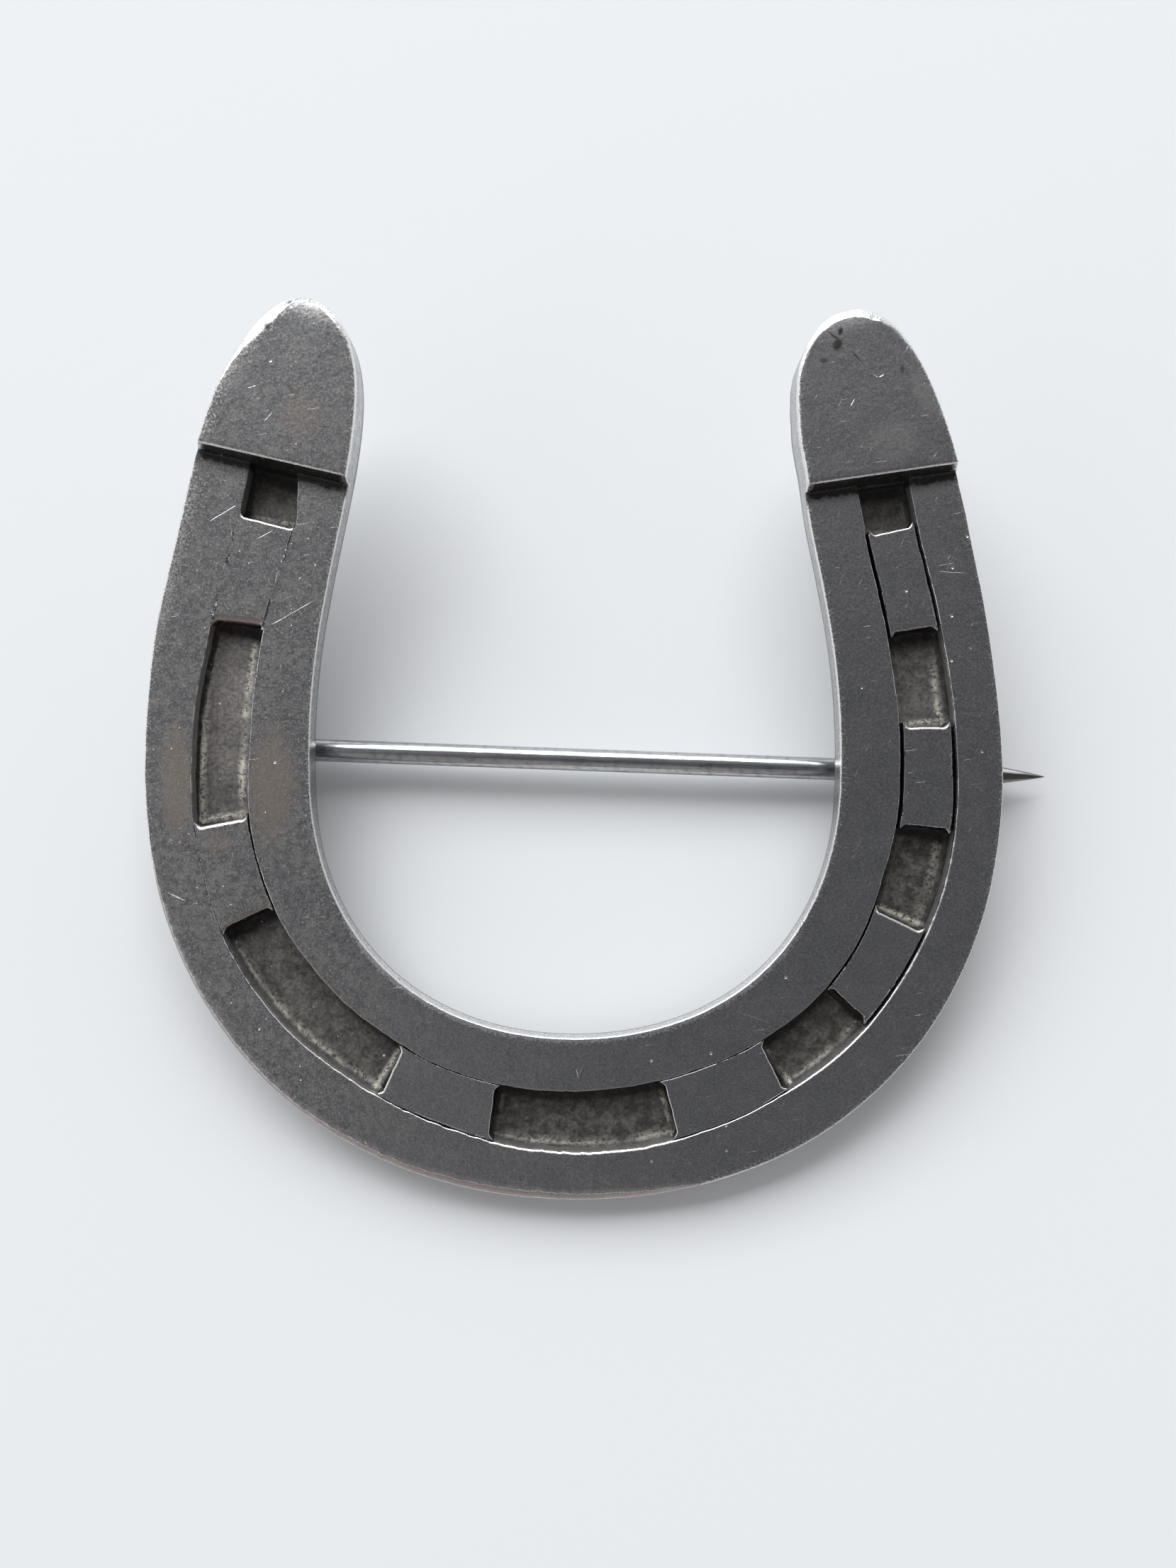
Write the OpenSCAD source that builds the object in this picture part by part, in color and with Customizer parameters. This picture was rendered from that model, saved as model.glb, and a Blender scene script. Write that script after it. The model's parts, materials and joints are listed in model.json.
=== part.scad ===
// Horseshoe brooch. A flat silver shoe has a fullered groove with seven nail heads set flush in it,
// and a raised cap on each heel. On its back a stout pin hangs in a riveted hinge behind the left
// branch and springs into a soldered hook behind the right one.
//
// The shoe is drawn flat in its own plane: +Y runs from the toe to the heels, the back lies at z = 0
// and the face looks along +Z. The whole brooch is then laid down as it rests, on its hinge, its hook
// and the back edge of its toe. The origin is the middle of its footprint, on the surface below it.

/* [Shoe] */
// Radius of the outer edge at the toe and at the sides
outer_r = 23.65; // [23:0.05:24.5]
// Radius of the inner edge at the toe and at the sides
inner_r = 14.7; // [14:0.05:15.2]
// How far both edges swell at the quarters, between toe and sides
quarter_swell = 0.42; // [0:0.02:0.6]
// Radius of the long arcs that lead from the sides into the branches
side_arc_r = 48; // [40:1:60]
// Inward lean of the straight branches
branch_lean = 11.8; // [9:0.1:13]
// Height of the left heel's tip above the middle of the shoe
left_tip_h = 25.85; // [24.5:0.05:27]
// Height of the right heel's tip above the middle of the shoe
right_tip_h = 25.3; // [24.5:0.05:27]
// Thickness of the plate
plate_t = 1.8; // [1.5:0.1:2.4]
// How much narrower than at the side a branch is on its outer edge
outer_taper = 0.3; // [0:0.05:0.5]
// How much narrower than at the side a branch is on its inner edge
inner_taper = 0.25; // [0:0.05:0.5]
// Length over which a heel rounds off to its tip
nose_len = 8.2; // [7:0.1:9]

/* [Groove and nail heads] */
// Radius of the groove's middle line at the toe
groove_r = 19.4; // [19:0.05:19.8]
// Width of the groove at the toe
groove_toe_w = 3.3; // [3:0.05:3.6]
// Width of the groove in the branches
groove_branch_w = 3.0; // [2.8:0.05:3.4]
// Depth of the groove below the face
groove_depth = 1.15; // [0.8:0.05:1.3]
// Gap along each long side of a nail head
nail_side_gap = 0.09; // [0.05:0.01:0.2]
// Gap under a nail head
nail_floor_gap = 0.03; // [0.02:0.01:0.1]

/* [Heel caps] */
// Height of a cap above the face
cap_h = 0.95; // [0.7:0.05:1.2]
// Length of a cap's top, from its straight edge to the tip
cap_len = 9.2; // [8.5:0.1:10]
// How far the foot of a cap's straight edge stands out from its top
cap_foot = 0.3; // [0.1:0.05:0.5]
// How far a cap's long sides lean in from foot to top
cap_draft = 0.25; // [0.1:0.05:0.4]
// How far a cap's top stops short of the heel's tip
cap_nose = 1.1; // [0.6:0.1:1.6]

/* [Pin and hinge] */
// Diameter of the pin's wire
pin_d = 1.3; // [1.1:0.05:1.3]
// Length of the pin from its hinge axis to its point
pin_len = 46.6; // [46:0.1:47.5]
// Diameter of the pin's root, where it leaves its knuckle
root_d = 1.44; // [1.3:0.02:1.46]
// Length of the root
root_len = 3.5; // [2.5:0.1:4.5]
// Length of the even stretch that follows the root
even_len = 30; // [28:0.5:31]
// Diameter where the point begins
neck_d = 1.24; // [1.1:0.02:1.3]
// Length of the point
point_len = 3.6; // [2.5:0.1:5]
// Slope of the pin across the shoe, point lower than hinge
pin_slope = 2.1; // [1:0.1:3]
// Hinge axis to the left of the shoe's middle
hinge_x = -19.2; // [-20:0.1:-18.6]
// Hinge axis above the shoe's middle
hinge_y = 1.5; // [1:0.1:2]
// Distance of the pin's middle line behind the plate
pin_back = 2.0; // [2:0.05:2.2]
// Outer radius of the two fixed hinge knuckles
knuckle_r = 1.35; // [1.3:0.05:1.5]
// Length of the hinge over both fixed knuckles
hinge_len = 3.6; // [3.4:0.1:4]
// Width of the pin's own knuckle between them
pin_knuckle_w = 1.4; // [1.2:0.1:1.6]
// Diameter of the hinge rivet
rivet_d = 1.0; // [0.8:0.05:1.1]

/* [Hook] */
// Distance of the hook's middle from the hinge axis, along the pin
hook_reach = 38.5; // [37.5:0.1:39.5]
// Width of the hook along the pin
hook_w = 2.6; // [2:0.1:3.2]
// Clearance between the pin and the inside of the hook
hook_clear = 0.15; // [0.1:0.01:0.2]

/* [Hidden] */

silver = [0.44, 0.44, 0.45];
pin_metal = [0.72, 0.73, 0.74];

// Each nail head's place on the groove's middle line: [middle, length], in mm from the toe's middle.
// Stations count positive towards the right heel and negative towards the left one.
NAIL_MIDDLE = 0;
NAIL_LENGTH = 1;
nail_heads = [
    [-41.6, 5.5],
    [-25.1, 5.4],
    [-7.8, 6.0],
    [8.4, 5.9],
    [19.6, 5.5],
    [30.3, 5.5],
    [41.1, 5.4]
];

outer_nose_power = 1.65;
inner_nose_power = 2;
taper_run = 12;
toe_run = groove_r * PI / 2;
arc_run = side_arc_r * branch_lean * PI / 180;
arc_h = side_arc_r * sin(branch_lean);
arc_in = side_arc_r * (1 - cos(branch_lean));

base_t = 0.6;
base_x = 5.0;
base_y = 4.8;
bore_clear = 0.07;
rivet_clear = 0.03;
knuckle_gap = 0.12;
pin_knuckle_r = knuckle_r - 0.15;
tip_d = 0.08;
neck_len = pin_len - root_len - even_len - point_len;
hook_lip = 25;
hook_foot_t = 0.5;
hook_foot_y = 1.6;
groove_under_cap = 0.4;
solder = 0.1;
slice = 0.02;
round_fn = 64;

// The plane that the brooch lies on touches the toe's back edge and the lower end of the hinge
hinge_low_y = hinge_y - hinge_len / 2;
rest_tilt = atan((pin_back + knuckle_r) / (outer_r + hinge_low_y));
hook_y = hinge_y - hook_reach * sin(pin_slope);
hook_in_r = pin_d / 2 + hook_clear;
// The hook's outside touches the same plane
hook_out_r = ((hook_y + outer_r) * tan(rest_tilt) - pin_back) * cos(rest_tilt);

pin_tip_x = hinge_x + pin_len * cos(pin_slope);
foot_mid_x = (pin_tip_x - outer_r) / 2;
heel_far_y = left_tip_h * cos(rest_tilt);
toe_far_y = -outer_r * cos(rest_tilt) - plate_t * sin(rest_tilt);
foot_mid_y = (heel_far_y + toe_far_y) / 2;
rest_lift = outer_r * sin(rest_tilt);

// Point of the groove's middle line at a station, and the angle of its outward normal
function toe_angle(a) = a / groove_r * 180 / PI;
function arc_angle(a) = (a - toe_run) / side_arc_r * 180 / PI;
function normal_angle(a) =
    a <= toe_run ? toe_angle(a) - 90 : min(arc_angle(a), branch_lean);
function swell(phi) = quarter_swell * pow(sin(2 * phi), 2);
function line_point(a) =
    a <= toe_run
    ? (groove_r + swell(toe_angle(a))) * [sin(toe_angle(a)), -cos(toe_angle(a))]
    : a <= toe_run + arc_run
    ? [groove_r - side_arc_r * (1 - cos(arc_angle(a))), side_arc_r * sin(arc_angle(a))]
    : [groove_r - arc_in, arc_h] + (a - toe_run - arc_run) * [-sin(branch_lean), cos(branch_lean)];
function right_rail(a, d) =
    line_point(a) + d * [cos(normal_angle(a)), sin(normal_angle(a))];
// The same on either branch, d being the distance outwards from the groove's middle line
function rail(s, d) =
    let (p = right_rail(abs(s), d)) [s < 0 ? -p[0] : p[0], p[1]];

// How far the outer and inner edges stand from the groove's middle line
function tip_station(side) =
    toe_run + arc_run + ((side < 0 ? left_tip_h : right_tip_h) - arc_h) / cos(branch_lean);
function taper(a) = min(max((a - toe_run) / taper_run, 0), 1);
function nose(e, power) =
    e <= 0 ? 0 : e >= nose_len ? 1 : pow(1 - pow(1 - e / nose_len, power), 1 / power);
function outer_reach(a, tip) =
    (outer_r - groove_r - outer_taper * taper(a)) * nose(tip - a, outer_nose_power);
function inner_reach(a, tip) =
    (groove_r - inner_r - inner_taper * taper(a)) * nose(tip - a, inner_nose_power);

// Stations of one half of the outline, from the toe to a heel's tip, closer together at the tip
toe_steps = 18;
arc_steps = 4;
branch_steps = 3;
nose_steps = 10;
function half_stations(tip) = concat(
    [for (i = [0:toe_steps]) i / toe_steps * toe_run],
    [for (i = [1:arc_steps]) toe_run + i / arc_steps * arc_run],
    [for (i = [1:branch_steps])
        toe_run + arc_run + i / branch_steps * (tip - nose_len - toe_run - arc_run)],
    [for (i = [1:nose_steps]) tip - nose_len * (1 - sin(90 * i / nose_steps))]
);
function backwards(list) = [for (i = [len(list) - 1:-1:0]) list[i]];
function half_edge(side, outward) =
    let (tip = tip_station(side))
    [for (a = half_stations(tip))
        rail(side * max(a, 0.001), outward ? outer_reach(a, tip) : -inner_reach(a, tip))];
shoe_outline = concat(
    backwards(half_edge(-1, true)),
    [for (i = [1:len(half_edge(1, true)) - 1]) half_edge(1, true)[i]],
    [for (i = [len(half_edge(1, false)) - 2:-1:0]) half_edge(1, false)[i]],
    [for (i = [1:len(half_edge(-1, false)) - 2]) half_edge(-1, false)[i]]
);

// A strip of the groove between two stations, with its own half widths
function groove_half_w(s) =
    (groove_toe_w + (groove_branch_w - groove_toe_w) * min(abs(s) / toe_run, 1)) / 2;
function strip(s0, s1, side_gap, steps) = concat(
    [for (i = [0:steps])
        let (s = s0 + (s1 - s0) * i / steps) rail(s, groove_half_w(s) - side_gap)],
    [for (i = [steps:-1:0])
        let (s = s0 + (s1 - s0) * i / steps) rail(s, side_gap - groove_half_w(s))]
);

// Outline of a cap, drawn in by a draft at its sides and by a set-back at its nose
cap_steps = 12;
function cap_outline(side, foot, draft, set_back) =
    let (tip = tip_station(side), run = cap_len + foot - set_back)
    concat(
        [for (i = [0:cap_steps])
            let (e = set_back + run * (1 - sin(90 * i / cap_steps)), a = tip - e)
            rail(side * a, max(outer_reach(a + set_back, tip) - draft, 0))],
        [for (i = [cap_steps - 1:-1:0])
            let (e = set_back + run * (1 - sin(90 * i / cap_steps)), a = tip - e)
            rail(side * a, -max(inner_reach(a + set_back, tip) - draft, 0))]
    );

module at_rest() {
    translate([-foot_mid_x, -foot_mid_y, rest_lift])
        rotate([rest_tilt, 0, 0])
            children();
}

// Turns a shape drawn along +X into the pin's line, from the hinge axis towards the point
module on_pin_line() {
    translate([hinge_x, hinge_y, -pin_back])
        rotate([0, 0, -pin_slope])
            children();
}

module along_hinge(r, length) {
    rotate([90, 0, 0])
        cylinder(r = r, h = length, center = true, $fn = round_fn);
}

module grooved_plate() {
    difference() {
        linear_extrude(plate_t)
            polygon(shoe_outline);
        translate([0, 0, plate_t - groove_depth])
            linear_extrude(plate_t)
                polygon(strip(-groove_end(-1), groove_end(1), 0, 72));
    }
}

function groove_end(side) = tip_station(side) - cap_len - cap_foot + groove_under_cap;

module cap_slice(side, z, foot, draft, set_back) {
    translate([0, 0, z])
        linear_extrude(slice)
            polygon(cap_outline(side, foot, draft, set_back));
}

// A raised cap with sloping sides, whose nose rolls down to the heel's tip
module heel_cap(side) {
    hull() {
        cap_slice(side, plate_t - solder, cap_foot, 0.01, 0.01);
        cap_slice(side, plate_t + 0.5 * cap_h, 0.5 * cap_foot, 0.4 * cap_draft, 0.2 * cap_nose);
        cap_slice(side, plate_t + 0.85 * cap_h, 0.15 * cap_foot, 0.8 * cap_draft, 0.55 * cap_nose);
        cap_slice(side, plate_t + cap_h - slice, 0, cap_draft, cap_nose);
    }
}

// Soldered base with two fixed knuckles, bored for the rivet
module hinge_seat() {
    ear_y = (hinge_len - pin_knuckle_w - 2 * knuckle_gap) / 2;
    on_pin_line() {
        translate([-base_x / 2, -base_y / 2, pin_back - base_t])
            cube([base_x, base_y, base_t + solder]);
        difference() {
            for (end = [-1, 1])
                translate([0, end * (hinge_len - ear_y) / 2, 0]) {
                    along_hinge(knuckle_r, ear_y);
                    translate([-knuckle_r, -ear_y / 2, 0])
                        cube([2 * knuckle_r, ear_y, pin_back - base_t / 2]);
                }
            along_hinge(rivet_d / 2 + rivet_clear, 2 * hinge_len);
        }
    }
}

// Hook of bent strip: a foot and riser on the heel side, a round belly, and a lip on the toe side
module hook_profile() {
    difference() {
        union() {
            circle(r = hook_out_r, $fn = round_fn);
            translate([hook_in_r, 0])
                square([hook_out_r - hook_in_r, pin_back + solder]);
            translate([hook_in_r, pin_back - hook_foot_t])
                square([hook_out_r - hook_in_r + hook_foot_y, hook_foot_t + solder]);
        }
        circle(r = hook_in_r, $fn = round_fn);
        translate([-hook_in_r, 0])
            square([2 * hook_in_r, pin_back + 1]);
        rotate(180 - hook_lip)
            translate([0, -2 * hook_out_r])
                square([2 * hook_out_r, 2 * hook_out_r]);
        translate([-2 * hook_out_r, hook_out_r * sin(hook_lip)])
            square([2 * hook_out_r + hook_in_r, 2 * hook_out_r]);
    }
}

module hook() {
    on_pin_line()
        translate([hook_reach - hook_w / 2, 0, 0])
            rotate([90, 0, 90])
                linear_extrude(hook_w)
                    hook_profile();
}

module horseshoe() {
    color(silver) at_rest() {
        grooved_plate();
        heel_cap(-1);
        heel_cap(1);
        hinge_seat();
        hook();
    }
}

module nail_head(index) {
    place = nail_heads[index - 1];
    start = place[NAIL_MIDDLE] - place[NAIL_LENGTH] / 2;
    color(silver) at_rest()
        translate([0, 0, plate_t - groove_depth + nail_floor_gap])
            linear_extrude(groove_depth - nail_floor_gap)
                polygon(strip(start, start + place[NAIL_LENGTH], nail_side_gap, 6));
}

// A round stretch of the pin's wire, from one diameter to another
module stem_stretch(start, length, d1, d2) {
    translate([start, 0, 0])
        rotate([0, 90, 0])
            cylinder(d1 = d1, d2 = d2, h = length, $fn = round_fn);
}

module pin() {
    color(pin_metal) at_rest() on_pin_line()
        difference() {
            union() {
                stem_stretch(0, root_len, root_d, pin_d);
                stem_stretch(root_len, even_len, pin_d, pin_d);
                stem_stretch(root_len + even_len, neck_len, pin_d, neck_d);
                stem_stretch(pin_len - point_len, point_len, neck_d, tip_d);
                along_hinge(pin_knuckle_r, pin_knuckle_w);
            }
            along_hinge(rivet_d / 2 + bore_clear, 2 * hinge_len);
        }
}

module hinge_rivet() {
    color(pin_metal) at_rest() on_pin_line()
        along_hinge(rivet_d / 2, hinge_len + 0.1);
}

horseshoe();
nail_head(1);  // nail_head_1
nail_head(2);  // nail_head_2
nail_head(3);  // nail_head_3
nail_head(4);  // nail_head_4
nail_head(5);  // nail_head_5
nail_head(6);  // nail_head_6
nail_head(7);  // nail_head_7
pin();
hinge_rivet();
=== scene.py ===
import json
import math

import bmesh
import bpy
import numpy as np
from mathutils import Matrix, Vector, noise


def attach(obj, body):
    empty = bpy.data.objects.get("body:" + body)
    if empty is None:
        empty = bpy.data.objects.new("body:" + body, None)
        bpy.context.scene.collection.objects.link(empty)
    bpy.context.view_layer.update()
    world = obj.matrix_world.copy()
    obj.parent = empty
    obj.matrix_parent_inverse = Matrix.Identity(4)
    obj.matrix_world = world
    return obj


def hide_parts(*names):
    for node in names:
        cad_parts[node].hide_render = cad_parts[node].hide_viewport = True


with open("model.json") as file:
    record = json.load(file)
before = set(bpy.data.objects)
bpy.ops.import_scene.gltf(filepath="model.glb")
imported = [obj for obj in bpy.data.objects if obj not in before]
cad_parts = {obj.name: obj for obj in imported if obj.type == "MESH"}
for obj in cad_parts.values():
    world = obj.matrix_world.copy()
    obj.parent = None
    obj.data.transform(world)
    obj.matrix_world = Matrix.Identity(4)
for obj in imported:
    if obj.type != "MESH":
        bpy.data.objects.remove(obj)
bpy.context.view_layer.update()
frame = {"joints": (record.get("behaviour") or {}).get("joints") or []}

# Everything below is in millimetres in the shoe's own plane, as in the part's source: +Y runs from the
# toe to the heels, the back lies at z = 0 and the face looks along +Z. A station is a distance along the
# groove's middle line from the toe's middle, below 0 on the left. An offset is a distance outwards from
# that line. Tables with a side have -1 for the left branch and 1 for the right one.
MM = 0.001

# Shoe
OUTER_R = 23.65
INNER_R = 14.7
QUARTER_SWELL = 0.42
SIDE_ARC_R = 48.0
LEAN = math.radians(11.8)
TIP_H = {-1: 25.85, 1: 25.3}
TIP_ROUNDED_OUT = {-1: 0.28, 1: 0.14}
PLATE_T = 1.8
OUTER_TAPER = 0.3
INNER_TAPER = 0.25
TAPER_RUN = 12.0
BACK_ROUND = 0.12
TOE_BACK_ROUND = 0.5
# A heel's nose: [length, offset of its apex outwards, two shape factors]
OUTER_NOSE = {-1: (11.0, -0.45, 0.388, 0.077), 1: (10.0, 0.05, 0.459, 0.107)}
INNER_NOSE = {-1: (12.0, 0.45, 0.362, -1.411), 1: (7.0, -0.05, 0.035, 1.771)}

# Heel caps, whose tops sink towards their tips
CAP_H = 0.95
CAP_LEN = 9.2
CAP_FOOT = 0.3
TIP_DIP = {-1: 0.18, 1: 0.16}
TIP_DIP_RUN = 1.9
# A cap's straight edge: [shift towards the tip, turn in mm for each mm outwards]
CAP_CUT = {-1: (0.38, -0.024), 1: (0.06, 0.06)}
# Distance from the tip at which the cap and its foot have ended
PLATE_FROM = 9.6

# Groove
GROOVE_R = 19.4
GROOVE_DEPTH = 1.15
GROOVE_DRAFT = 0.05
FLOOR_FILLET = 0.26
GROOVE_END = CAP_LEN + CAP_FOOT + 0.03

TOE_RUN = GROOVE_R * math.pi / 2
ARC_RUN = SIDE_ARC_R * LEAN
ARC_H = SIDE_ARC_R * math.sin(LEAN)
TIP = {side: TOE_RUN + ARC_RUN + (TIP_H[side] - ARC_H) / math.cos(LEAN) for side in (-1, 1)}

# Hinge, pin and hook
HINGE_X = -19.2
HINGE_Y = 1.5
HINGE_LEN = 3.6
BASE_X = 5.0
BASE_Y = 4.8
BASE_T = 0.6
BASE_CORNER = 0.7
BASE_BEVEL = 0.18
KNUCKLE_R = 1.35
KNUCKLE_GAP = 0.12
SEAT_BORE_R = 0.53
RIVET_R = 0.5
PIN_BACK = 2.0
PIN_SLOPE = math.radians(2.1)
PIN_LEN = 46.6
PIN_R = 0.65
PIN_KNUCKLE_R = 1.2
PIN_KNUCKLE_W = 1.4
PIN_BORE_R = 0.57
ROOT_R = 0.72
ROOT_LEN = 3.5
ROOT_HALF_TAPER = 0.6
NECK_START = 33.5
NECK_R = 0.62
POINT_LEN = 3.6
EYE_CHAMFER = 0.1
HOOK_REACH = 38.5
HOOK_W = 2.6
HOOK_IN_R = 0.8
HOOK_OUT_R = 1.385
HOOK_MID_R = (HOOK_IN_R + HOOK_OUT_R) / 2
HOOK_HALF_T = (HOOK_OUT_R - HOOK_IN_R) / 2
HOOK_CORNER = 0.14
HOOK_BEND = 0.5

# How far the hand-filed edges stand out from the drawn curves: [station, extra]
OUTER_EXTRA = np.array([
    [-53.0, 0.0], [-51.2, 0.03], [-50.2, 0.02], [-48.4, -0.04], [-47.6, -0.02], [-47.15, 0.20],
    [-45.5, 0.30], [-42.0, 0.38], [-38.0, 0.40], [-34.0, 0.28], [-29.0, 0.20], [-24.0, 0.27],
    [-18.0, 0.18], [-8.0, 0.07], [0.0, 0.05], [6.0, 0.13], [11.0, 0.23], [18.0, 0.24],
    [23.0, 0.19], [28.0, 0.07], [36.0, 0.01], [44.0, 0.17], [50.0, 0.0],
])
INNER_EXTRA = np.array([
    [45.0, 0.0], [47.9, -0.18], [49.6, -0.20], [51.1, -0.17], [52.2, -0.04],
    [53.2, 0.11], [53.9, 0.17], [54.8, 0.13], [55.5, 0.03], [56.2, 0.05],
])
# Height above the plate along a cap's straight edge: [distance from the tip, height]
RISER = np.array([
    [8.90, CAP_H], [9.08, CAP_H - 0.006], [9.13, CAP_H - 0.03], [9.18, CAP_H - 0.075],
    [9.22, CAP_H - 0.14], [9.46, 0.12], [9.50, 0.03], [9.56, 0],
])

# The hand-cut groove: [station, offset of its inner edge, offset of its outer edge]
GROOVE_EDGES = np.array([
    [-47.5, -1.52, 1.09], [-46.2, -1.84, 1.07], [-45.35, -2.04, 1.09], [-44.8, -2.07, 1.11],
    [-44.2, -1.93, 1.16], [-39.0, -1.45, 1.42], [-33.0, -1.36, 1.82], [-27.5, -1.20, 1.88],
    [-22.0, -1.38, 1.84], [-17.5, -1.70, 1.60], [-12.5, -1.88, 1.22], [-7.5, -1.75, 1.26],
    [-2.5, -1.69, 1.56], [2.5, -1.78, 1.62], [7.5, -1.84, 1.52], [12.0, -1.70, 1.45],
    [16.0, -1.50, 1.60], [20.0, -1.44, 1.66], [24.0, -1.56, 1.84], [28.0, -1.40, 1.86],
    [33.0, -1.36, 1.72], [38.0, -1.48, 1.54], [44.0, -1.60, 1.36], [44.5, -1.50, 1.38],
    [48.0, -1.46, 1.40],
])
# Rounding of the groove's upper edges: [station, inner radius, outer radius]
GROOVE_ROUND = np.array([
    [-46.0, 0.05, 0.05], [-44.4, 0.05, 0.05], [-43.0, 0.07, 0.08], [-39.0, 0.07, 0.07],
    [-38.0, 0.07, 0.05], [-28.0, 0.07, 0.05], [-22.0, 0.07, 0.07], [-18.0, 0.08, 0.11],
    [-11.0, 0.09, 0.13], [-10.2, 0.06, 0.08], [-5.0, 0.06, 0.08], [-4.2, 0.10, 0.17],
    [0.0, 0.10, 0.19], [5.0, 0.09, 0.16], [5.9, 0.06, 0.06], [11.0, 0.06, 0.06],
    [11.8, 0.07, 0.14], [16.8, 0.06, 0.14], [18.0, 0.05, 0.10], [19.5, 0.05, 0.16],
    [22.0, 0.05, 0.14], [27.0, 0.05, 0.12], [28.0, 0.05, 0.05], [46.0, 0.05, 0.05],
])
# Rounding of the plate's upper edges: [station, outer width, inner width]
PLATE_ROUND = np.array([
    [-47.4, 0.08, 0.08], [-46.0, 0.13, 0.08], [-44.0, 0.18, 0.08], [-40.0, 0.18, 0.09],
    [-36.0, 0.14, 0.09], [-32.0, 0.12, 0.09], [-26.0, 0.14, 0.10], [-21.0, 0.18, 0.12],
    [-16.0, 0.24, 0.10], [-11.0, 0.36, 0.10], [-5.0, 0.46, 0.10], [-1.0, 0.46, 0.10],
    [3.0, 0.36, 0.10], [6.0, 0.20, 0.10], [10.0, 0.14, 0.10], [20.0, 0.09, 0.12],
    [30.0, 0.06, 0.10], [46.0, 0.06, 0.09],
])
# Rounding of a cap's upper edge: [distance from the tip, outer width, outer drop, inner width, inner drop]
CAP_ROUND = {
    -1: np.array([
        [-0.28, 0.24, 0.17, 0.30, 0.19], [0.2, 0.46, 0.26, 0.36, 0.22], [0.9, 0.68, 0.36, 0.26, 0.19],
        [1.8, 0.64, 0.36, 0.15, 0.13], [3.0, 0.46, 0.30, 0.12, 0.10], [4.2, 0.26, 0.21, 0.10, 0.10],
        [5.5, 0.15, 0.15, 0.10, 0.10], [8.0, 0.09, 0.11, 0.09, 0.09], [9.5, 0.08, 0.08, 0.08, 0.08],
    ]),
    1: np.array([
        [-0.14, 0.58, 0.30, 0.56, 0.30], [0.3, 0.58, 0.30, 0.42, 0.25], [0.8, 0.36, 0.23, 0.24, 0.18],
        [1.5, 0.22, 0.17, 0.15, 0.15], [3.0, 0.16, 0.15, 0.15, 0.15], [5.0, 0.14, 0.15, 0.15, 0.15],
        [7.0, 0.12, 0.15, 0.15, 0.15], [9.5, 0.10, 0.13, 0.12, 0.12],
    ]),
}

# Nail heads: [start at the inner edge, start at the outer edge, end at the inner edge, end at the outer
# edge, gap on the inner side, gap on the outer side, rise above the face]
NAIL_HEADS = [
    [-44.52, -44.66, -38.90, -38.72, -0.012, -0.012, 0.00],
    [-27.82, -27.70, -22.44, -22.36, 0.09, 0.06, 0.01],
    [-10.85, -10.48, -4.86, -4.50, 0.05, 0.09, -0.01],
    [5.47, 5.36, 11.66, 11.25, 0.06, 0.09, -0.01],
    [16.98, 16.85, 22.16, 22.10, 0.13, 0.20, -0.02],
    [27.46, 27.60, 33.07, 32.94, 0.24, 0.30, 0.01],
    [38.45, 38.42, 44.02, 44.02, 0.22, 0.23, 0.00],
]
# Rounding of their upper edges: [start, end, sides, tarnish at the start, tarnish at the end, wear of sides]
NAIL_EDGES = [
    [0.15, 0.38, 0.10, 0.0, 1.0, 1.0],
    [0.22, 0.16, 0.03, 0.0, 1.0, 0.6],
    [0.13, 0.05, 0.025, 0.0, 0.0, 0.6],
    [0.06, 0.07, 0.025, 0.0, 0.0, 0.6],
    [0.06, 0.16, 0.03, 0.6, 0.0, 0.3],
    [0.06, 0.16, 0.03, 0.5, 0.0, 0.2],
    [0.12, 0.11, 0.03, 0.7, 0.0, 0.2],
]
NAIL_FLOOR_GAP = 0.03
NAIL_CORNER_R = 0.26
# Wear and tarnish on the rings of a nail head, from its foot over its rounded edge to its face
NAIL_RING_WEAR = np.array([0.0, 0.0, 0.0, 1.0, 1.0, 1.0, 1.0, 0.5, 0.0])
NAIL_RING_TARNISH = np.array([0.0, 0.0, 0.0, 1.0, 1.0, 1.0, 1.0, 0.8, 0.3])

# Pale crumbly patina on the floors: [station, share on the inner side, share on the outer side]
CRUMBS = np.array([
    [-48.0, 0.2, 0.3], [-39.0, 0.3, 0.3], [-36.5, 1.3, 0.3], [-31.5, 1.3, 0.9], [-28.5, 0.6, 0.6],
    [-22.0, 0.2, 0.3], [-15.0, 0.2, 0.5], [-5.0, 0.1, 0.45], [0.0, 0.1, 0.45], [6.0, 0.2, 0.5],
    [12.0, 0.15, 0.3], [22.0, 0.2, 1.0], [30.0, 0.3, 1.3], [35.0, 0.2, 1.3], [38.0, 0.1, 0.4],
    [48.0, 0.1, 0.2],
])
# Tone of the floors, 0 dark to 1 pale: [station, tone]
FLOOR_TONES = np.array([
    [-46.6, 0.05], [-45.4, 0.5], [-39.0, 0.45], [-36.5, 1.0], [-31.5, 0.95], [-29.5, 0.45],
    [-22.0, 0.35], [-14.0, 0.25], [-5.0, 0.12], [12.0, 0.15], [17.0, 0.1], [22.0, 0.05],
    [28.0, 0.05], [33.0, 0.4], [39.0, 0.3], [44.6, 0.45], [45.6, 0.3], [46.8, 0.05],
])
# Direction in the plane towards the window's side: walls on this side get a painted shadow on the floor
# beside them
HEEL_SIDE = np.array([-0.28, 0.96])

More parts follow.
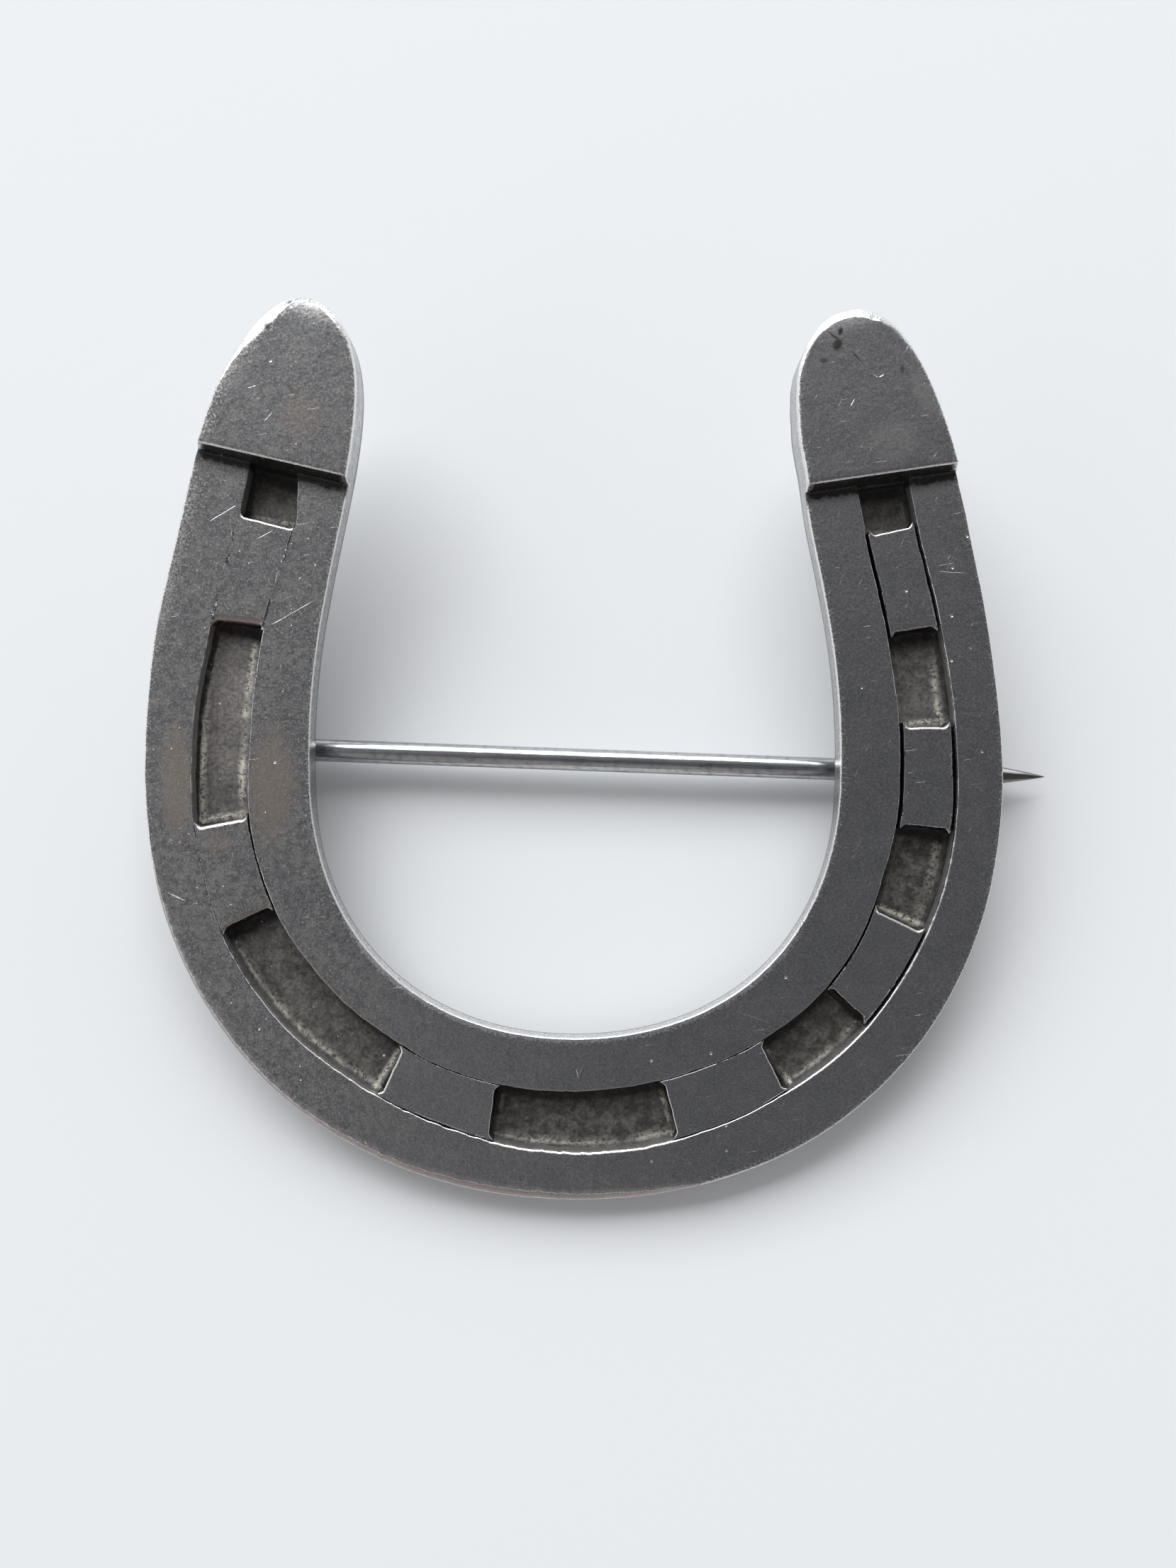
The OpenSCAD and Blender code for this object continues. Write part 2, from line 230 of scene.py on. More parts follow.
# Steps of the meshes
ROW_STEP = 0.12
EDGE_ROWS = np.array([9.9, 9.8, 9.7, 9.63, 9.58, 9.56, 9.53, 9.50, 9.46, 9.39, 9.32, 9.26, 9.22, 9.20, 9.18,
                      9.155, 9.13, 9.105, 9.08, 9.0, 8.90])
CAP_ROWS_START = 8.75
BACK_ARC = ((1.0, 0.0), (0.62, 0.08), (0.3, 0.29), (0.08, 0.62), (0.0, 1.0))
NAIL_LONG_STEPS = 48
# Shares of a nail head's width from its outer side, closer together at both sides
NAIL_CROSS = (1 - np.cos(np.linspace(0, math.pi, 26))) / 2
EYE_ANGLES = np.linspace(0, 2 * math.pi, 96, endpoint=False)

# Single marks: [x0, y0, x1, y1, height, half width, strength]
SCRATCHES = [
    [-20.36, 13.85, -18.57, 14.92, 1.8, 0.035, 0.8], [-16.56, 13.50, -17.80, 12.85, 1.8, 0.03, 0.5],
    [-17.10, 8.02, -14.26, 9.65, 1.8, 0.025, 0.7], [-14.45, 11.62, -14.32, 11.42, 1.8, 0.05, 1.0],
    [-17.9, 21.0, -17.35, 21.15, 2.75, 0.03, 0.7], [-17.0, 19.15, -16.45, 19.75, 2.75, 0.03, 0.7],
    [-22.8, -6.5, -21.3, -7.2, 1.8, 0.03, 0.7], [-21.6, -11.6, -18.8, -13.6, 1.8, 0.03, 0.35],
    [16.22, 21.81, 16.57, 21.58, 2.75, 0.04, 0.9], [16.57, 21.58, 16.92, 21.77, 2.75, 0.04, 0.9],
    [15.02, 19.95, 15.33, 20.53, 2.75, 0.03, 0.7], [19.88, 11.15, 21.88, 11.05, 1.8, 0.02, 0.4],
    [21.79, 6.96, 21.98, 6.86, 1.8, 0.05, 0.8], [0.05, -16.3, 0.2, -17.0, 1.8, 0.035, 0.8],
    [8.6, -13.1, 11.2, -14.0, 1.8, 0.025, 0.35], [-19.01, 13.50, -19.03, 13.05, 1.8, 0.035, 0.8],
    [-19.05, 12.65, -19.08, 12.25, 1.8, 0.035, 0.9], [-19.25, 12.05, -19.34, 11.45, 1.8, 0.03, 0.7],
    [-15.93, 12.65, -16.04, 12.30, 1.8, 0.035, 0.8], [-16.12, 12.00, -16.28, 11.60, 1.8, 0.035, 0.9],
    [-16.38, 11.35, -16.64, 10.40, 1.8, 0.03, 0.7], [-16.80, 9.75, -17.04, 8.70, 1.8, 0.03, 0.7],
]
# Dark stains near the tips
STAINS = [
    [14.35, 24.14, 14.67, 24.04, 2.7, 0.30, 1.0], [14.05, 23.50, 14.65, 23.22, 2.75, 0.46, 0.9],
    [13.70, 24.13, 14.71, 23.43, 2.75, 0.06, 0.9], [15.02, 23.09, 15.81, 22.25, 2.75, 0.045, 0.8],
    [13.35, 22.60, 13.85, 22.40, 2.75, 0.22, 0.6], [17.88, 22.35, 17.88, 21.70, 2.75, 0.16, 0.6],
    [-17.13, 24.52, -16.50, 24.28, 2.5, 0.32, 1.0], [-15.86, 25.68, -15.26, 25.66, 2.35, 0.26, 0.95],
]
# Warm tarnish on both sides of the long recess and on the left cap
WARM_PATCHES = [
    [-22.1, 3.6, -22.0, -4.6, 1.8, 1.15, 1.0], [-16.7, 3.3, -16.9, -4.8, 1.8, 1.7, 1.0],
    [-19.7, -3.0, -19.8, -4.6, 1.8, 1.0, 0.7], [-16.2, 18.5, -13.6, 20.5, 2.75, 1.6, 0.5],
]
# Soft paler areas on the face
PALE_PATCHES = [
    [15.6, 17.9, 19.2, 18.5, 2.75, 1.5, 0.5], [18.3, 22.4, 19.9, 19.2, 2.75, 0.8, 0.5],
    [-19.4, 20.2, -18.2, 23.0, 2.75, 0.9, 0.4], [-22.9, 13.0, -23.2, 7.0, 1.8, 1.1, 0.5],
]

# Colours of the worn silver
FACE_DARK = (0.345, 0.350, 0.366, 1)
FACE_LIGHT = (0.565, 0.556, 0.546, 1)
FACE_MOTTLE = (0.255, 0.254, 0.262, 1)
FACE_GRAIN = (0.60, 0.60, 0.60, 1)
FACE_PALE = (0.62, 0.61, 0.60, 1)
DUSTY = (0.80, 0.80, 0.79, 1)
RUBBED = (0.84, 0.835, 0.825, 1)
WARM_TARNISH = (0.60, 0.51, 0.44, 1)
BEVEL_TARNISH = (0.36, 0.30, 0.288, 1)
STAIN = (0.10, 0.097, 0.093, 1)
# Painted shade in corners, gaps, on the groove walls and under the caps
SHADE = (0.016, 0.015, 0.014, 1)
FLOOR_DARK = (0.036, 0.034, 0.030, 1)
FLOOR_LIGHT = (0.115, 0.112, 0.104, 1)
FLOOR_PALE = (0.225, 0.21, 0.20, 1)
CRUMB = (0.76, 0.73, 0.63, 1)

# The pin's wire, and its point's painted reflection: a dark line along its middle, a painted highlight above
# it and a dark rim
WIRE = (0.54, 0.55, 0.56, 1)
WIRE_DULL = (0.36, 0.36, 0.36, 1)
POINT_REFLECTED_DARK = (0.080, 0.078, 0.068, 1)
POINT_REFLECTED_LOW = (0.22, 0.215, 0.20, 1)
POINT_PAINTED_HIGHLIGHT = (0.74, 0.74, 0.73, 1)

# The photograph's view: from this point, square to the face, with its focal length and width in px
CAMERA_POINT = (0.725, -0.627, 71.9)
FOCAL_PX = 1787
PHOTO_WIDTH_PX = 1659

# Studio, in metres: a wide soft window on the heel side and a room whose darkest part is a little off
# overhead
FLOOR_HALF = 1.5
FLOOR_COLOUR = (0.835, 0.855, 0.875, 1)
WINDOW_DISTANCE = 2.4
WINDOW_AZIMUTH = math.radians(16)
WINDOW_ELEVATION = math.radians(38)
WINDOW_W = 2.7
WINDOW_H = 1.5
WINDOW_POWER = 71
WINDOW_COLOUR = (0.985, 0.992, 1.0)
ROOM_TOE_SIDE = (0.36, 0.33, 0.318, 1)
ROOM_WEST = (1.15, 1.16, 1.17, 1)
ROOM_HEEL_SIDE = (0.88, 0.89, 0.91, 1)
ROOM_CEILING = (0.30, 0.30, 0.30, 1)
ROOM_CEILING_HEEL = (0.222, 0.222, 0.228, 1)
ROOM_DARK = (0.123, 0.126, 0.138, 1)
ROOM_DARKEST = (0.080, 0.082, 0.091, 1)
DARK_OVERHEAD = Vector((0.18, -0.29, 0.97)).normalized()
DARK_EAST = Vector((0.31, -0.03, 0.95)).normalized()


def shoe_matrix():
    """The shoe's plane in the frame, from the place and the direction of the pin's hinge."""
    joint = frame["joints"][0]
    axis = joint["axis"]
    tilt = math.atan2(axis[2], axis[1])
    turn = Matrix.Rotation(tilt, 4, "X")
    hinge = turn @ (MM * Vector((HINGE_X, HINGE_Y, -PIN_BACK)))
    return Matrix.Translation(Vector(joint["pos_m"]) - hinge) @ turn


SHOE = shoe_matrix()
HINGE_PLACE = Matrix.Translation(MM * Vector((HINGE_X, HINGE_Y, -PIN_BACK)))
PIN_LINE = SHOE @ HINGE_PLACE @ Matrix.Rotation(-PIN_SLOPE, 4, "Z")


def smooth(t):
    t = np.clip(t, 0, 1)
    return t * t * (3 - 2 * t)


def rise(x, start, run):
    """Eases from 0 at the start to 1 a run further on."""
    return smooth((x - start) / run)


def fall(x, end, run):
    """Eases from 1 a run before the end to 0 there."""
    return smooth((end - x) / run)


def unit(vectors):
    return vectors / (np.linalg.norm(vectors, axis=-1, keepdims=True) + 1e-9)


def curve(table, column, x):
    """Value of a table's column at x, eased between its rows."""
    rows = table[:, 0]
    i = np.clip(np.searchsorted(rows, x) - 1, 0, len(rows) - 2)
    t = np.clip((x - rows[i]) / (rows[i + 1] - rows[i]), 0, 1)
    t = 0.5 * t + 0.5 * smooth(t)
    return table[i, column] * (1 - t) + table[i + 1, column] * t


def wobble(points, scale, seed, detail=1):
    """Smooth noise from -1 to 1 at plane points, scale bumps to a millimetre."""
    shift = 17.3 * seed
    return np.array([
        noise.fractal(Vector((x * scale + shift, y * scale - shift, shift)), 0.6, 2.0, detail)
        for x, y in points.reshape(-1, 2)
    ]).reshape(points.shape[:-1])


def line_wobble(run, beside, scale, seed, detail):
    """The same noise along a line; beside keeps lines of the same seed apart."""
    return wobble(np.stack([run, np.full_like(run, beside)], -1), scale, seed, detail)


def by_side(s, value):
    """What a function of the side gives, for the side of each station."""
    return np.where(s < 0, value(-1), value(1))


def middle_line(a):
    """Point of the groove's middle line and the angle of its outward normal, for stations from 0 up."""
    toe = np.minimum(a, TOE_RUN) / GROOVE_R
    r = GROOVE_R + QUARTER_SWELL * np.sin(2 * toe) ** 2
    arc = np.clip(a - TOE_RUN, 0, ARC_RUN) / SIDE_ARC_R
    run = np.maximum(a - TOE_RUN - ARC_RUN, 0)
    x = r * np.sin(toe) - SIDE_ARC_R * (1 - np.cos(arc)) - run * math.sin(LEAN)
    y = -r * np.cos(toe) + SIDE_ARC_R * np.sin(arc) + run * math.cos(LEAN)
    return x, y, toe - math.pi / 2 + arc


def from_tip(s):
    """Distance along the middle line from the heel's tip on that side."""
    return by_side(s, TIP.get) - np.abs(s)


def cut_shift(s, d):
    """How far the metal round a cap's straight edge is moved towards the tip."""
    near = 1 - rise(np.abs(from_tip(s) - 9.3), 0.5, 1.8)
    return near * by_side(s, lambda side: CAP_CUT[side][0] - CAP_CUT[side][1] * d)


def rail(s, d):
    """Points beside the groove's middle line, at stations and offsets."""
    x, y, angle = middle_line(np.abs(s) + cut_shift(s, d))
    x = x + d * np.cos(angle)
    y = y + d * np.sin(angle)
    return np.stack([np.where(s < 0, -x, x), y], -1)


def nose(s, full, shapes):
    """Half the shoe's width with its heels narrowed to round noses."""
    narrowed = full
    for side, (length, apex, a, b) in shapes.items():
        out = TIP_ROUNDED_OUT[side]
        q = np.sqrt(np.clip((from_tip(s) + out) / (length + out), 0, 1))
        here = full - (full - apex) * (1 - q) ** 2 * (1 + a * q + b * q * q)
        narrowed = np.where(np.sign(s) == side, here, narrowed)
    return narrowed


def reach(s, outward):
    """How far the shoe's edge stands from the middle line."""
    taper = np.clip((np.abs(s) - TOE_RUN) / TAPER_RUN, 0, 1)
    if outward:
        full = OUTER_R - GROOVE_R - OUTER_TAPER * taper
        return nose(s, full, OUTER_NOSE) + curve(OUTER_EXTRA, 1, s)
    full = GROOVE_R - INNER_R - INNER_TAPER * taper
    return nose(s, full, INNER_NOSE) + curve(INNER_EXTRA, 1, s)


def top_height(s, xy):
    """Height of the shoe's top at stations and plane points."""
    height = PLATE_T + np.interp(from_tip(s), RISER[:, 0], RISER[:, 1])
    for side, depth in TIP_DIP.items():
        tip = rail(np.float64(side * TIP[side]), np.float64(0.0))
        along = np.array([-side * math.sin(LEAN), math.cos(LEAN)])
        below = (tip - xy) @ along + TIP_ROUNDED_OUT[side]
        dip = depth * np.clip(1 - below / TIP_DIP_RUN, 0, 1) ** 3
        height = height - np.where(np.sign(xy[..., 0]) == side, dip, 0)
    return height


def edge_round(s, outward):
    """Width and drop of the rounding along the shoe's upper edge."""
    e = from_tip(s)
    column = 1 if outward else 2
    plate = curve(PLATE_ROUND, column, s)
    columns = (2 * column - 1, 2 * column)
    cap, cap_drop = (by_side(s, lambda side: curve(CAP_ROUND[side], i, e)) for i in columns)
    share = fall(e, 9.55, 0.35)
    width = plate + (cap - plate) * share
    plate_drop = np.where(plate > 0.16, 0.16 + 0.40 * (plate - 0.16), plate)
    drop = plate_drop + (cap_drop - plate_drop) * share
    uneven = 1 + np.where(e > PLATE_FROM, 0.16, 0.07) * line_wobble(s, 9.0 * column, 1.3, 41, 4)
    return width * uneven, drop * uneven


def face_outwards(shape):
    """Turns the faces of each closed shell outwards."""
    bmesh.ops.recalc_face_normals(shape, faces=shape.faces)
    left = set(shape.faces)
    while left:
        shell, grown = [], [left.pop()]
        while grown:
            face = grown.pop()
            shell.append(face)
            near = {other for edge in face.edges for other in edge.link_faces} & left
            left -= near
            grown += near
        if sum(face.calc_center_median().dot(face.normal) * face.calc_area() for face in shell) < 0:
            bmesh.ops.reverse_faces(shape, faces=shell)


def add_piece(name, points, faces, masks, place, material, slot, body):
    """Makes a mesh piece from points in millimetres and lets it ride on its body."""
    mesh = bpy.data.meshes.new(name)
    turn = np.array(place)
    mesh.from_pydata(((MM * points) @ turn[:3, :3].T + turn[:3, 3]).tolist(), [], faces)
    shape = bmesh.new()
    shape.from_mesh(mesh)
    face_outwards(shape)
    shape.to_mesh(mesh)
    shape.free()
    mesh.polygons.foreach_set("use_smooth", [True] * len(mesh.polygons))
    for key, values in masks.items():
        layer = mesh.attributes.new(key, "FLOAT", "POINT")
        layer.data.foreach_set("value", np.asarray(values, np.float32).ravel())
    mesh.materials.append(material)
    mesh.validate()
    piece = bpy.data.objects.new(name, mesh)
    bpy.context.scene.collection.objects.link(piece)
    weighted = piece.modifiers.new("normals", "WEIGHTED_NORMAL")
    weighted.weight = 80
    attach(piece, body)
    return piece


def grid_faces(index, close_rows=False, close_columns=False):
    """Quads between neighbours of a table of point numbers."""
    if close_rows:
        index = np.vstack([index, index[:1]])
    if close_columns:
        index = np.hstack([index, index[:, :1]])
    quads = np.stack([index[:-1, :-1], index[1:, :-1], index[1:, 1:], index[:-1, 1:]], -1).reshape(-1, 4)
    corners = [list(dict.fromkeys(quad)) for quad in quads.tolist()]
    return [face for face in corners if len(face) > 2]


class Skin:
    """The shoe's points, in millimetres, with the masks that its material reads."""

    def __init__(self):
        self.points = []
        self.masks = {key: [] for key in ("wear", "recess", "shade", "tint", "crumb", "pale")}
        self.count = 0

    def add(self, xy, z, **values):
        """Adds a line of points and gives their numbers."""
        self.points.append(np.column_stack([xy, np.broadcast_to(z, len(xy))]))
        for key, store in self.masks.items():
            store.append(np.broadcast_to(values.get(key, 0.0), len(xy)).astype(float))
        self.count += len(xy)
        return np.arange(self.count - len(xy), self.count)

    def lines(self, ring, rows):
        """A ring's inner and outer edge from the left tip to the right one, as numbers and plane points."""
        inner = np.concatenate([ring[:1], ring[rows:][::-1], ring[rows - 1:rows]])
        outer = ring[:rows]
        flat = np.concatenate(self.points)[:, :2]
        return inner, outer, flat[inner], flat[outer]

    def finished(self, faces):
        """Points, faces and masks, without the points that no face uses."""
        used = np.zeros(self.count, bool)
        for face in faces:
            used[face] = True
        number = np.cumsum(used) - 1
        kept = [number[face].tolist() for face in faces]
        masks = {key: np.concatenate(store)[used] for key, store in self.masks.items()}
        return np.concatenate(self.points)[used], kept, masks


def half_rows(side):
    """Stations of one branch from the toe's middle to the heel's tip."""
    plate_run = TIP[side] - (CAP_LEN + CAP_FOOT) - 0.5
    plate = np.linspace(0, plate_run, int(plate_run / ROW_STEP))
    cap_start, tip = TIP[side] - CAP_ROWS_START, TIP[side] + TIP_ROUNDED_OUT[side]
    cap = cap_start + (tip - cap_start) * np.sin(np.linspace(0, math.pi / 2, 60))
    return np.concatenate([plate, TIP[side] - EDGE_ROWS, cap])


def side_rings(skin, s):
    """Adds rings of points from the back's edge up the wall and over the rounding of the upper edge."""
    # One loop: the outer edge from tip to tip, then the inner edge back
    loop_s = np.concatenate([s, s[-2:0:-1]])
    outward = np.arange(len(loop_s)) < len(s)
    edge = rail(loop_s, np.where(outward, reach(loop_s, True), -reach(loop_s, False)))
    along = np.roll(edge, -1, 0) - np.roll(edge, 1, 0)
    normal = unit(np.stack([along[:, 1], -along[:, 0]], -1))
    width, drop = np.where(outward, edge_round(loop_s, True), edge_round(loop_s, False))

    e, from_toe = from_tip(loop_s), np.abs(loop_s)
    plate_rim = (e > PLATE_FROM) & outward
    toe_worn = rise(loop_s, -28, 4) * fall(loop_s, 7, 3) * plate_rim
    heel_worn = fall(loop_s, -35, 4) * plate_rim
    pale_line = fall(from_toe, 22, 6) * ~outward
    power = np.where(e < 9.4, 1.6 - 0.5 * fall(e, 3.6, 1.4), 2.0 - 0.9 * toe_worn)
    # Painted shade: a dark line at the foot of the inner wall, and the cap's painted shade and patina carried
    # over the rim below it
    foot_shade = 0.9 * ~outward
    ring_shade = fall(e, 10.5, 0.7) * (e > 9.45)
    wall_wear = np.where(outward, 0.5, 0.12 + 0.48 * fall(from_toe, 26, 12)) * (1 - toe_worn)
    back_r = BACK_ROUND + np.where(outward, 0.16 * fall(from_toe, 14, 8),
                                   (TOE_BACK_ROUND - BACK_ROUND) * fall(from_toe, 30, 6))
    wall_top = top_height(loop_s, edge) - drop
    rings = []
    for inset, up in BACK_ARC:
        rings.append(skin.add(edge - (inset * back_r)[:, None] * normal, up * back_r, wear=0.6 * outward,
                              shade=foot_shade))
    for t in (0.1, 0.2, 0.5, 0.8):
        rings.append(skin.add(edge, back_r + (wall_top - back_r) * t, tint=toe_worn * t,
                              wear=wall_wear * (t > 0.1), shade=foot_shade * (t < 0.15)))
    for t in (0.0, 0.03, 0.1, 0.22, 0.4, 0.65, 0.83, 0.9, 1.0):
        sunk = drop * (1 - (1 - (1 - t) ** power) ** (1 / power))
        line = edge - (width * t)[:, None] * normal
        rubbed = (1 - toe_worn) * (1 - 0.6 * t) + toe_worn * (t < 0.05 or t == 0.9)
        rubbed = np.maximum(rubbed, np.maximum(heel_worn * (1 - 0.5 * t), pale_line)) * (1 - ring_shade)
        rings.append(skin.add(line, top_height(loop_s, line) - sunk, wear=rubbed, shade=ring_shade,
                              tint=toe_worn * (0.05 < t < 0.85)))
    return rings


def groove_side(s, outward):
    """Offset of the face's edge, and offsets and depths of lines from there over the wall to the floor."""
    column, inwards = (2, -1) if outward else (1, 1)
    edge = curve(GROOVE_EDGES, column, s) + 0.022 * line_wobble(s, 0, 0.7, column, 2)
    edge = edge + 0.004 * line_wobble(s, 0, 3.1, 20 + column, 2)
    edge_r = curve(GROOVE_ROUND, column, s)
    face = -inwards * (reach(s, outward) - curve(PLATE_ROUND, 3 - column, s))
    start = edge - inwards * (edge_r + 0.03)
    wall_low = GROOVE_DEPTH - FLOOR_FILLET
    lines = [(face + (start - face) * t, 0 * s) for t in np.linspace(0, 1, 9)[1:]]
    for angle in np.radians([0, 22, 45, 67, 90]):
        lines.append((edge - inwards * edge_r * (1 - math.sin(angle)), edge_r * (1 - math.cos(angle))))
    for t in (0.33, 0.66):
        lines.append((edge + inwards * GROOVE_DRAFT * t, edge_r + (wall_low - edge_r) * t))
    for angle in np.radians([0, 22, 45, 68, 90]):
        inset = GROOVE_DRAFT + FLOOR_FILLET * (1 - math.cos(angle))
        lines.append((edge + inwards * inset, wall_low + FLOOR_FILLET * math.sin(angle) + 0 * s))
    return face, lines


def groove_columns(s):
    """Shares of the way from the inner to the outer edge and depths, a column for each line."""
    inner_face, inner = groove_side(s, False)
    outer_face, outer = groove_side(s, True)
    low, high = inner[-1][0], outer[-1][0]
    floor = [(low + (high - low) * t, GROOVE_DEPTH + 0 * s) for t in np.linspace(0, 1, 10)[1:-1]]
    offsets, depths = (np.stack(values, 1) for values in zip(*inner, *floor, *reversed(outer)))
    return (offsets - inner_face[:, None]) / (outer_face - inner_face)[:, None], depths


def recess_ends(s):
    """Distances along the groove to the end of its recess before and after, 0 under a nail head."""
    before = s + TIP[-1] - GROOVE_END
    after = TIP[1] - GROOVE_END - s
    for start_in, start_out, end_in, end_out, *_ in NAIL_HEADS:
        start, end = (start_in + start_out) / 2, (end_in + end_out) / 2
        before = np.where(s > start, np.minimum(before, s - end), before)
        after = np.where(s < end, np.minimum(after, start - s), after)
    return np.maximum(before, 0)[:, None], np.maximum(after, 0)[:, None]


def painted_corner_shadow(xy, before, after, from_inner, from_outer):
    """Painted shadow on the floor along the walls that stand on the heel side, towards the window, 1 in the
    corner.
    """
    along = (unit(np.gradient(xy[:, xy.shape[1] // 2], axis=0)) @ HEEL_SIDE)[:, None]
    out = (unit(xy[:, -1] - xy[:, 0]) @ HEEL_SIDE)[:, None]
    gap_along = np.where(along > 0, after, before) / np.maximum(np.abs(along), 0.05)
    gap_across = np.where(out > 0, from_outer, from_inner) / np.maximum(np.abs(out) - 0.15, 0.02)
    return fall(np.minimum(gap_along, gap_across) + 0.09 * wobble(xy, 1.4, 61, 3), 1.05, 0.5)


def old_polish(s, xy, end_gap, from_inner, from_outer):
    """Share of crumbly old polish on the floor, in bands along the walls and at the ends of recesses."""
    patchy = wobble(xy, 0.6, 9, 2)
    crumb = 0
    for column, gap, hidden in ((1, from_inner, 0.30), (2, from_outer, 0.16 * rise(s, 14, 4))):
        share = curve(CRUMBS, column, s)
        middle = 0.13 + 0.12 * share
        band = smooth(1 - np.abs(gap - hidden - middle) / (0.6 * middle + 0.05))
        crumb = np.maximum(crumb, band * share * smooth(0.95 + 1.2 * patchy))
    at_end = smooth(1.1 - np.abs(end_gap - 0.32) / 0.17) * smooth(0.8 + 1.6 * patchy)
    return np.maximum(crumb, 0.9 * at_end) * (end_gap > 0)


def floor_relief(xy, depth, crumb, end_gap):
    """Depths of the floor, which climbs in fillets at the recess ends and is rough where crumbs lie."""
    fillet = FLOOR_FILLET * (1 + 0.35 * wobble(xy, 1.1, 5, 3))
    climb = fillet - np.sqrt(np.maximum(fillet ** 2 - (fillet - end_gap) ** 2, 0))
    climb = np.where((end_gap > 0) & (end_gap < fillet), climb, 0)
    rough = (0.02 + 0.07 * crumb) * wobble(xy, 3.2, 6, 4) + 0.02 * wobble(xy, 1.1, 7, 2)
    return np.maximum(depth - climb - np.abs(rough), 0.1)


def groove_shade(s, depth, in_groove, outer_half, end_gap, from_outer, corner):
    """Painted shade in the groove: the painted corner shadows, dark lines in the gaps under the heads, the
    walls and the right outer fillet.
    """
    under_heads = (end_gap <= 0) & (depth > 0.13)
    low_left_wall = outer_half & (depth > 0.5) & (s < -28)
    walls = (depth > 0.2) & ~in_groove & ~low_left_wall & ~under_heads
    outer_fillet = rise(s, 14, 4) * fall(from_outer, 0.27, 0.12) * (in_groove & outer_half)
    return np.maximum(1.3 * corner, np.maximum(1.5 * under_heads + 0.75 * walls, 0.9 * outer_fillet))


def cap_shade(e, xy):
    """Painted shade and dark patina at the foot of a cap's straight edge, with an uneven border."""
    shade = 0.8 * smooth((10.8 + 0.25 * wobble(xy, 0.8, 8, 3) - e) / 1.2) * (e > 9.21)
    return shade * (1 + fall(e, 10.1, 0.4))


def edge_masks(s, e, xy, depth, shade, to_edge, outer_half):
    """Wear and tarnish of the groove's upper edges and the cap's straight edge, and flecks near the rim."""
    patches = 1 - rise(np.abs(s), 17, 4) * (1 - smooth(0.42 + 2.2 * wobble(xy, 1.3, 71, 3)))
    edge_wear = ((depth > 0) & (depth < 0.13)) * patches * rise(e, 11.4, 1.0)
    tint = edge_wear * ~outer_half * fall(np.abs(s), 24, 5)
    chamfer = smooth(1 - np.abs(e - 9.16) / 0.07)
    flecks = 0.40 * smooth(1 - to_edge / 0.7) * fall(s, -34, 5)
    return np.maximum(np.maximum(edge_wear - tint, chamfer), flecks * (shade < 0.1)), tint


def add_top(skin, s, ring):
    """Adds the top between the rounded edges, with the groove in it, and gives its table of point numbers."""
    inner, outer, inner_line, outer_line = skin.lines(ring, len(s))
    e = from_tip(s)
    share, depth = groove_columns(np.sign(s) * (np.abs(s) - np.maximum(GROOVE_END - e, 0)))
    xy = inner_line[:, None] + (outer_line - inner_line)[:, None] * share[..., None]
    in_groove = depth > GROOVE_DEPTH - FLOOR_FILLET - 1e-6
    first, last = np.flatnonzero(in_groove[0])[[0, -1]]
    outer_half = np.arange(share.shape[1]) >= share.shape[1] // 2
    across = np.cumsum(np.linalg.norm(np.diff(xy, axis=1, prepend=xy[:, :1]), axis=2), axis=1)
    from_inner, from_outer = across - across[:, first, None], across[:, last, None] - across
    before, after = recess_ends(s)
    end_gap = np.minimum(before, after)
    stations, e = s[:, None], e[:, None]
    open_groove = e > GROOVE_END - 0.005

    # Painted shadow in the floors' corners by the walls on the window's side
    corner = in_groove * painted_corner_shadow(xy, before, after, from_inner, from_outer)
    crumb = in_groove * (1 - corner) * old_polish(stations, xy, end_gap, from_inner, from_outer)
    pale = curve(FLOOR_TONES, 1, stations) * smooth(0.9 + 0.7 * wobble(xy, 0.35, 19, 2))
    depth = np.where(in_groove, floor_relief(xy, depth, crumb, end_gap), depth) * open_groove
    level = 0.008 * wobble(xy, 0.25, 3, 2) * (depth < 0.01) * smooth(e / 1.5)
    z = top_height(stations, xy) - depth + level
    recess = open_groove * np.maximum(in_groove, 0.75 * (depth > 0.135))
    in_shade = groove_shade(stations, depth, in_groove, outer_half, end_gap, from_outer, corner)
    shade = np.maximum(cap_shade(e, xy), in_shade * open_groove)
    wear, tint = edge_masks(stations, e, xy, depth, shade, across[:, -1:] - across, outer_half)

    index = np.empty(share.shape, int)
    for row in range(1, len(s) - 1):
        index[row] = skin.add(xy[row], z[row], wear=wear[row], recess=recess[row], tint=tint[row],
                              shade=shade[row], crumb=crumb[row], pale=pale[row])
    index = np.column_stack([inner, index, outer])
    index[0], index[-1] = ring[0], ring[len(s) - 1]
    return index


def add_back(skin, rows, ring):
    """Adds the flat back between its rounded edges and gives its table of point numbers."""
    inner, outer, inner_line, outer_line = skin.lines(ring, rows)
    lines = [inner]
    for t in np.linspace(0, 1, 9)[1:-1]:
        line = skin.add(inner_line + (outer_line - inner_line) * t, 0.0)
        line[0], line[-1] = ring[0], ring[rows - 1]
        lines.append(line)
    return np.stack(lines + [outer])


def shoe_shape():
    """Points, faces and masks of the whole shoe, one closed mesh."""
    left, right = half_rows(-1), half_rows(1)
    s = np.concatenate([-left[:0:-1], right])
    skin = Skin()
    rings = side_rings(skin, s)
    faces = grid_faces(np.stack(rings), close_columns=True)
    faces += grid_faces(add_top(skin, s, rings[-1]).T)
    faces += grid_faces(add_back(skin, len(s), rings[0]).T)
    return skin.finished(faces)


